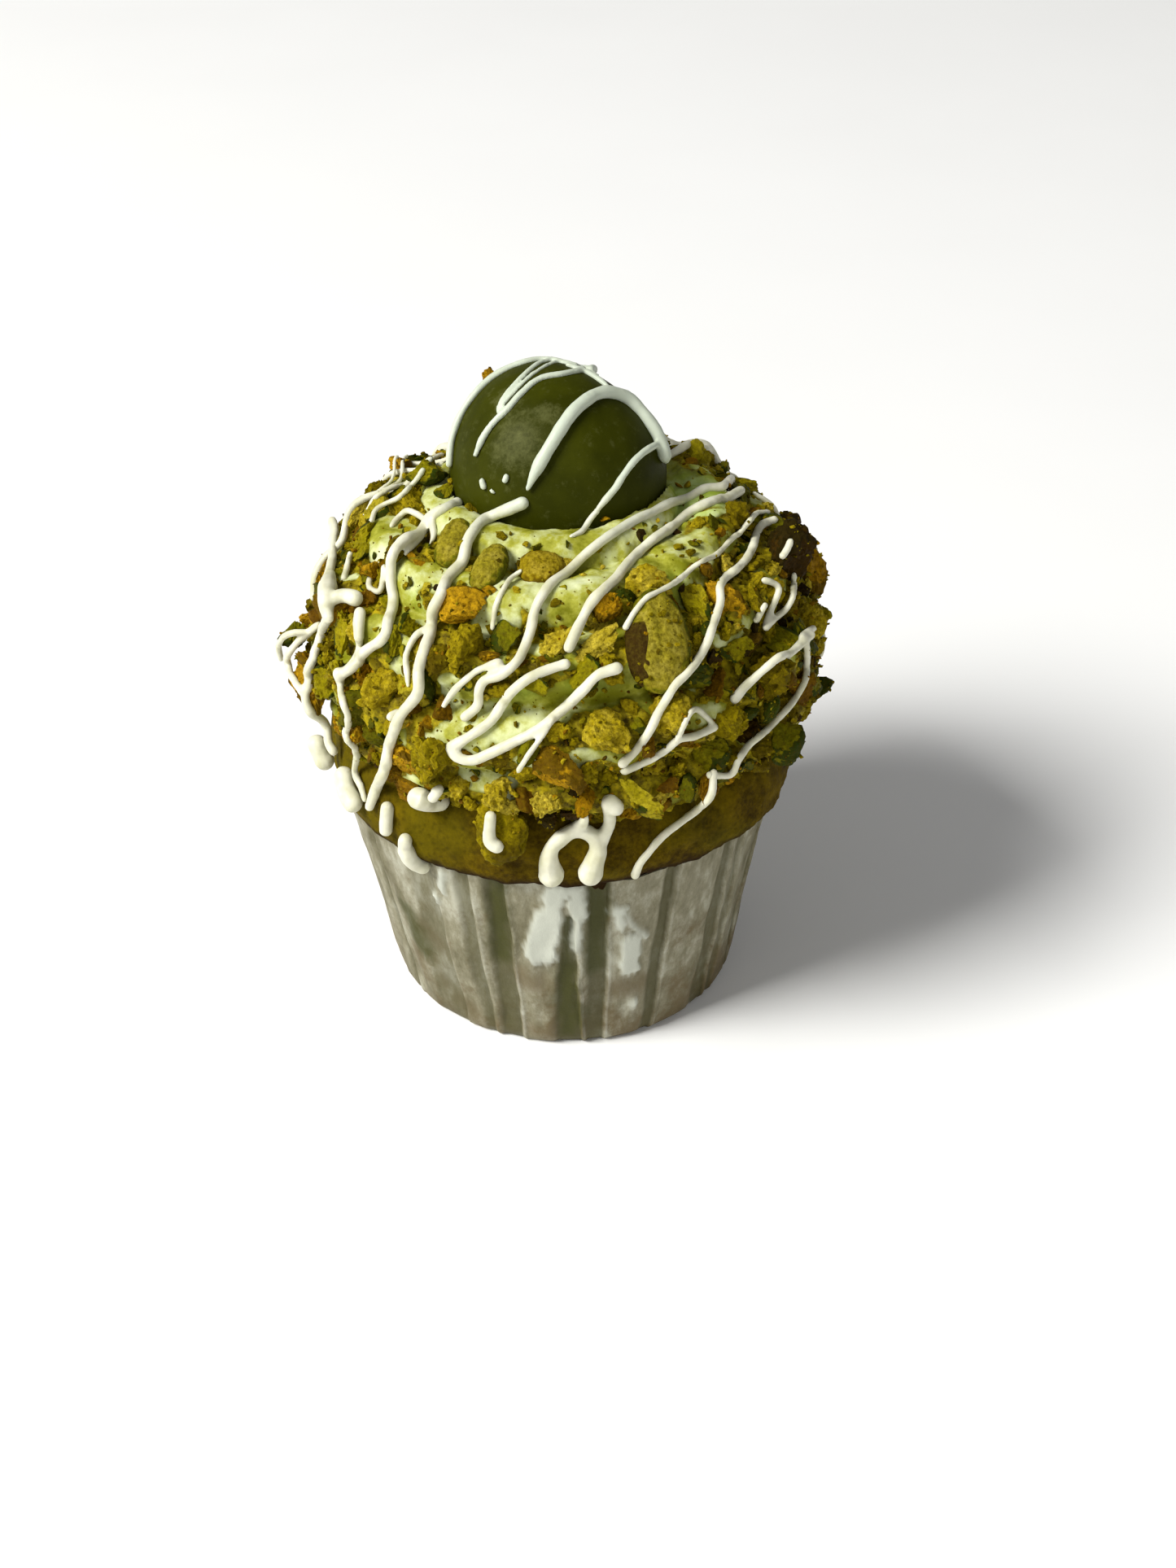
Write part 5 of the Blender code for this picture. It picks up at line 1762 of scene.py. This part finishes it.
@dataclass
class Drizzle:
    """White chocolate run from a spoon: strands that bridge the gaps between the nuts."""

    ground: Ground
    step: float = 0.5
    voxel: float = 0.25
    fullness: float = 0.82
    sag: float = 3.2
    bridge: float = 1.2
    bedded: float = 0.15
    raised: float = 0.22
    cover_length: float = 1.5
    last_length: float = 0.8
    back_strands: int = 16
    seed: int = 7
    finish: WhiteChocolate = field(default_factory=WhiteChocolate)

    def softened(self, values: Sequence[float], length: float) -> np.ndarray:
        """Even out values along a strand.

        Args:
            values: One for each step.
            length: Length in millimetres to even them out over, each way.

        Returns:
            The softened values.
        """
        window = np.hanning(2 * round(length / self.step) + 3)
        edge = len(window) // 2
        return np.convolve(np.pad(values, edge, mode="edge"), window / window.sum(), mode="valid")

    def way_points(self, strand: Strand) -> list[Vector]:
        """Even points of a strand's middle line, draped over the ground.

        Args:
            strand: The strand.

        Returns:
            The points, those of a strand that shows on the line of sight that it was read on.
        """
        heart = BALL.centre if strand.on_ball else FOOD.centre
        spots = [(*spot, 0.0)[:3] for spot in strand.way]
        rough = [(BALL.point(a, e) if strand.on_ball else FOOD.point(a, e), lift) for a, e, lift in spots]
        line: list[tuple[Vector, float]] = []
        ahead = (rough[0][0] * 2 - rough[1][0], rough[0][1])
        beyond = (rough[-1][0] * 2 - rough[-2][0], rough[-1][1])
        padded = [ahead, *rough, beyond]
        for (p0, _), (p1, l1), (p2, l2), (p3, _) in zip(padded[:-3], padded[1:-2], padded[2:-1], padded[3:]):
            parts = max(1, round((p2 - p1).length / self.step))
            for i in range(parts):
                t = i / parts
                place = 0.5 * (2 * p1 + (p2 - p0) * t + (2 * p0 - 5 * p1 + 4 * p2 - p3) * t * t
                               + (3 * p1 - p0 - 3 * p2 + p3) * t ** 3)
                line.append((place, l1 + (l2 - l1) * t))
        line.append(rough[-1])
        facing = strand.way[0][0] <= 0.0 or strand.way[-1][0] <= 0.0
        drawn = [place + (place - heart).normalized() * lift for place, lift in line]
        hits = [self.ground.seen(place) if facing else None for place, _ in line]
        if facing:
            shifts = np.array([(hit or place) - place for hit, (place, _) in zip(hits, line)])
            soft = np.array([self.softened(shifts[:, i], self.sag) for i in range(3)]).T
            line = [(place + Vector(shift), lift) for shift, (place, lift) in zip(soft, line)]
        ways = [(place - heart).normalized() for place, _ in line]
        found = [(hit - heart).length if hit else self.ground.reach(heart, way)[0]
                 for hit, way in zip(hits, ways)]
        span = max(1, round(self.bridge / self.step))
        bridged = [max(found[max(0, i - span):i + span + 1]) for i in range(len(found))]
        smooth = self.softened(bridged, self.sag)
        lowest = [max(s, f - self.bedded * strand.width) for s, f in zip(smooth, found)]
        reach = self.softened(lowest, self.bridge)
        points = [heart + way * (float(r) + strand.width * self.raised + lift)
                  for way, r, (_, lift) in zip(ways, reach, line)]
        if facing:
            sights = [(place - EYE).normalized() for place in drawn]
            depths = [(point - EYE).dot(sight) for sight, point in zip(sights, points)]
            covers = [self.ground.front(place, strand.width, depth) for place, depth in zip(drawn, depths)]
            eased = self.softened(covers, self.cover_length)
            near = [min(depth, cover - 0.05 * strand.width) for depth, cover in zip(eased, covers)]
            near = self.softened(near, self.last_length)
            points = [EYE + sight * float(depth) for sight, depth in zip(sights, near)]
        return points

    def tube(self, strand: Strand, rng: random.Random) -> bpy.types.Object:
        """Model one strand as a cord of uneven thickness with round ends.

        Args:
            strand: The strand.
            rng: Draws for its unevenness.

        Returns:
            The strand, as a mesh.
        """
        points = self.way_points(strand)
        curve = bpy.data.curves.new("strand", "CURVE")
        curve.dimensions = "3D"
        curve.bevel_depth = 1.0
        curve.bevel_resolution = 3
        curve.use_fill_caps = True
        radius = strand.width * self.fullness / 2.0
        nearby = min(3, len(points) - 1)
        first = (points[0] - points[nearby]).normalized()
        last = (points[-1] - points[-1 - nearby]).normalized()
        phase = rng.uniform(0.0, 40.0)
        rows = []
        run = np.cumsum([0.0] + [(b - a).length for a, b in zip(points[:-1], points[1:])])
        for place, gone in zip(points, run):
            left = run[-1] - gone
            size = radius * (1.0 + 0.13 * noise.noise(Vector((gone * 0.35 + phase, 0.0, 0.0))))
            near_head = max(0.0, 1.0 - gone / (strand.width * 1.6))
            near_tail = max(0.0, 1.0 - left / (strand.width * 1.6))
            size *= 1.0 + (strand.head - 1.0) * near_head + (strand.tail - 1.0) * near_tail
            rows.append((place, size))
        caps = (0.35, 0.65, 0.86, 0.97)
        head = [(points[0] + first * rows[0][1] * c, rows[0][1] * math.sqrt(1.0 - c * c)) for c in caps[::-1]]
        tail = [(points[-1] + last * rows[-1][1] * c, rows[-1][1] * math.sqrt(1.0 - c * c)) for c in caps]
        rows = head + rows + tail
        spline = curve.splines.new("POLY")
        spline.points.add(len(rows) - 1)
        for point, (place, size) in zip(spline.points, rows):
            point.co = (*place, 1.0)
            point.radius = size
        thing = bpy.data.objects.new("strand", curve)
        bpy.context.scene.collection.objects.link(thing)
        make_active(thing)
        bpy.ops.object.convert(target="MESH")
        return bpy.context.object

    def pour(self, name: str, strands: Iterable[Strand]) -> bpy.types.Object:
        """Model a group of strands and let them run together where they touch.

        Args:
            name: The piece's name.
            strands: Its strands.

        Returns:
            The finished piece.
        """
        rng = random.Random(f"{self.seed} {name}")
        tubes = [self.tube(strand, rng) for strand in strands]
        bpy.ops.object.select_all(action="DESELECT")
        for tube in tubes:
            tube.select_set(True)
        bpy.context.view_layer.objects.active = tubes[0]
        bpy.ops.object.join()
        group = bpy.context.object
        finish_modifier(group, "REMESH", mode="VOXEL", voxel_size=self.voxel)
        finish_modifier(group, "SMOOTH", factor=0.5, iterations=3)
        displace(group, 1.6, 0.12)
        return finish_piece(group, name, self.finish.make(), (), 80.0)

    def behind(self) -> list[Strand]:
        """Lay out slanting strands for the side that faces away, by rule.

        Returns:
            The strands.
        """
        rng = random.Random(self.seed)
        made = []
        for i in range(self.back_strands):
            start = 15.0 + 150.0 * (i + 0.5) / self.back_strands + rng.uniform(-5.0, 5.0)
            top, drop = rng.uniform(34.0, 62.0), rng.uniform(26.0, 52.0)
            lean = rng.uniform(6.0, 26.0) * (1 if i % 4 else -1)
            way = tuple((start + lean * t + rng.uniform(-2, 2), top - drop * t)
                        for t in (0, 0.2, 0.4, 0.6, 0.8, 1.0))
            made.append(Strand(rng.uniform(1.0, 1.9), way, rng.uniform(0.7, 1.3), rng.uniform(0.6, 1.3)))
        return made

    def build(self) -> None:
        """Pour all the drizzle."""
        self.pour("ball_drizzle", BALL_STRANDS)
        self.pour("front_drizzle", FRONT_STRANDS)
        self.pour("back_drizzle", self.behind())
        self.pour("rim_drips", DRIPS)


@dataclass
class FineCrumbs:
    """Grit of chopped nuts, a millimetre or less, stuck all over the cream and the nuts."""

    ground: Ground
    count: int = 6500
    seed: int = 5
    shapes: int = 5

    def build(self) -> None:
        """Scatter and dress the grit, pale and dark apart."""
        rng = random.Random(self.seed)
        patterns = []
        for _ in range(self.shapes):
            bpy.ops.mesh.primitive_ico_sphere_add(subdivisions=1, radius=0.5)
            grain = bpy.context.object
            reshape(grain, lambda co: co * rng.uniform(0.5, 1.3))
            patterns.append(grain)
        rows: dict[Nut, list[tuple[int, Matrix, float]]] = {Nut.CRUMB: [], Nut.TOASTED: []}
        for _ in range(self.count):
            azimuth = rng.uniform(-180.0, 180.0)
            elevation = math.degrees(math.asin(rng.uniform(-0.2, 0.9)))
            if rng.random() < (elevation - 38.0) / 30.0 or (elevation < -9.0 and rng.random() < 0.85):
                continue
            if FOOD.bare(azimuth, elevation) > 0.4 and rng.random() > 0.45:
                continue
            direction = unit(azimuth, elevation)
            reach, facing = self.ground.reach(FOOD.centre, direction)
            size = 0.22 + 0.85 * rng.random() ** 3.0
            turn = Matrix.Rotation(rng.uniform(0, 6.28), 4, direction)
            turn = turn @ Matrix.Rotation(rng.uniform(0, 3), 4, "X")
            place = Matrix.Translation(FOOD.centre + direction * reach + facing * size * 0.18) @ turn
            width, height = size * rng.uniform(0.6, 1.0), size * rng.uniform(0.6, 1.0)
            place = place @ Matrix.Diagonal((size, width, height, 1.0))
            kind = Nut.CRUMB if rng.random() < 0.85 else Nut.TOASTED
            rows[kind].append((rng.randrange(self.shapes), place, rng.uniform(0.0, 0.8)))
        for kind, name in ((Nut.CRUMB, "golden_grit"), (Nut.TOASTED, "toasted_grit")):
            grit = join_copies(name, patterns, rows[kind])
            finish_piece(grit, name, NUT_FINISHES[kind].make(), (), 35.0)
        for grain in patterns:
            bpy.data.objects.remove(grain)


@dataclass
class Studio:
    """A pale floor, soft light from the upper left and the camera of the photograph."""

    looking_down: float = 34.18
    focal_length: float = 2894.0
    sensor: float = 36.0
    daylight: float = 0.22

    def floor(self) -> None:
        """Lay the pale floor."""
        bpy.ops.mesh.primitive_plane_add(size=6.0, location=(0.0, 0.0, 0.0))
        floor = bpy.context.object
        floor.name = "studio_floor"
        made, shader, place = start_material("painted_board", Roughness=0.9)
        grain = add_node(made.node_tree, NOISE, inputs={"Vector": place, "Scale": per_mm(60.0)})
        tone = add_node(made.node_tree, COLOUR_RAMP, inputs={"Fac": grain},
                        stops=((0.0, "f4f4f3"), (1.0, "f8f8f7")))
        plug(shader, {"Base Color": tone})
        floor.data.materials.append(made)

    def lamp(self, name: str, place: tuple[float, float, float], size: float, watts: float,
             colour: tuple[float, float, float]) -> None:
        """Hang a soft lamp aimed at the food.

        Args:
            name: The lamp's name.
            place: Where it hangs, in metres.
            size: Its side.
            watts: Its power.
            colour: Its colour.
        """
        data = bpy.data.lights.new(name, "AREA")
        data.size = size
        data.energy = watts
        data.color = colour
        lamp = bpy.data.objects.new(name, data)
        lamp.location = place
        lamp.rotation_euler = (Vector((0.0, 0.0, 0.05)) - Vector(place)).to_track_quat("-Z", "Y").to_euler()
        bpy.context.scene.collection.objects.link(lamp)

    def build(self) -> None:
        """Set the floor, the light and the camera."""
        self.floor()
        self.lamp("key", (-1.45, -0.8, 1.6), 0.9, 76.0, (1.0, 0.995, 0.97))
        self.lamp("fill", (0.7, -1.8, 1.0), 1.4, 6.0, (0.98, 0.99, 1.0))
        world = bpy.data.worlds.new("studio")
        world.use_nodes = True
        world.node_tree.nodes["Background"].inputs[0].default_value = (1.0, 1.0, 1.0, 1.0)
        world.node_tree.nodes["Background"].inputs[1].default_value = self.daylight
        bpy.context.scene.world = world
        bpy.context.scene.view_settings.view_transform = "Standard"
        data = bpy.data.cameras.new("camera")
        data.sensor_fit = "VERTICAL"
        data.sensor_height = self.sensor
        data.lens = self.focal_length * self.sensor / PHOTO_HEIGHT
        data.clip_start = 0.01
        camera = bpy.data.objects.new("camera", data)
        camera.location = EYE * MM
        camera.rotation_euler = (math.radians(90.0 - self.looking_down), 0.0, 0.0)
        bpy.context.scene.collection.objects.link(camera)
        bpy.context.scene.camera = camera


def main() -> None:
    """Build the cupcake from the case up, then set the studio."""
    logging.basicConfig(level=logging.INFO, format="%(name)s %(message)s")
    ground = Ground()
    PaperCase().build()
    Cake().build()
    mound = CreamMound()
    ground.add(mound.build())
    ball = ChocolateBall()
    ground.add(ball.build())
    nuts = ChoppedNuts()
    for piece in nuts.build():
        ground.add(piece)
    kernels = [(kernel, kernel.build()) for kernel in KERNELS]
    clump = CrumbClump().build()
    for _, piece in kernels:
        ground.add(piece)
    ground.add(clump)
    lip = bpy.data.objects["baked_cake"].copy()
    lip.data = lip.data.copy()
    lip.data.transform(Matrix.Scale(1.0 / MM, 4))
    lip.parent = None
    bpy.context.scene.collection.objects.link(lip)
    ground.add(lip)
    bpy.data.objects.remove(lip)
    Drizzle(ground).build()
    FineCrumbs(ground).build()
    for kernel, piece in kernels:
        finish_piece(piece, kernel.node.replace("kernel", "nut"), kernel.finish.make(),
                     (kernel.node,), 60.0)
    finish_piece(clump, "hanging_clump", NUT_FINISHES[Nut.CRUMB].make(), ("crumb_clump",), 60.0)
    nuts.settle()
    ball.settle()
    mound.settle()
    Studio().build()


if __name__ == "__main__":
    main()
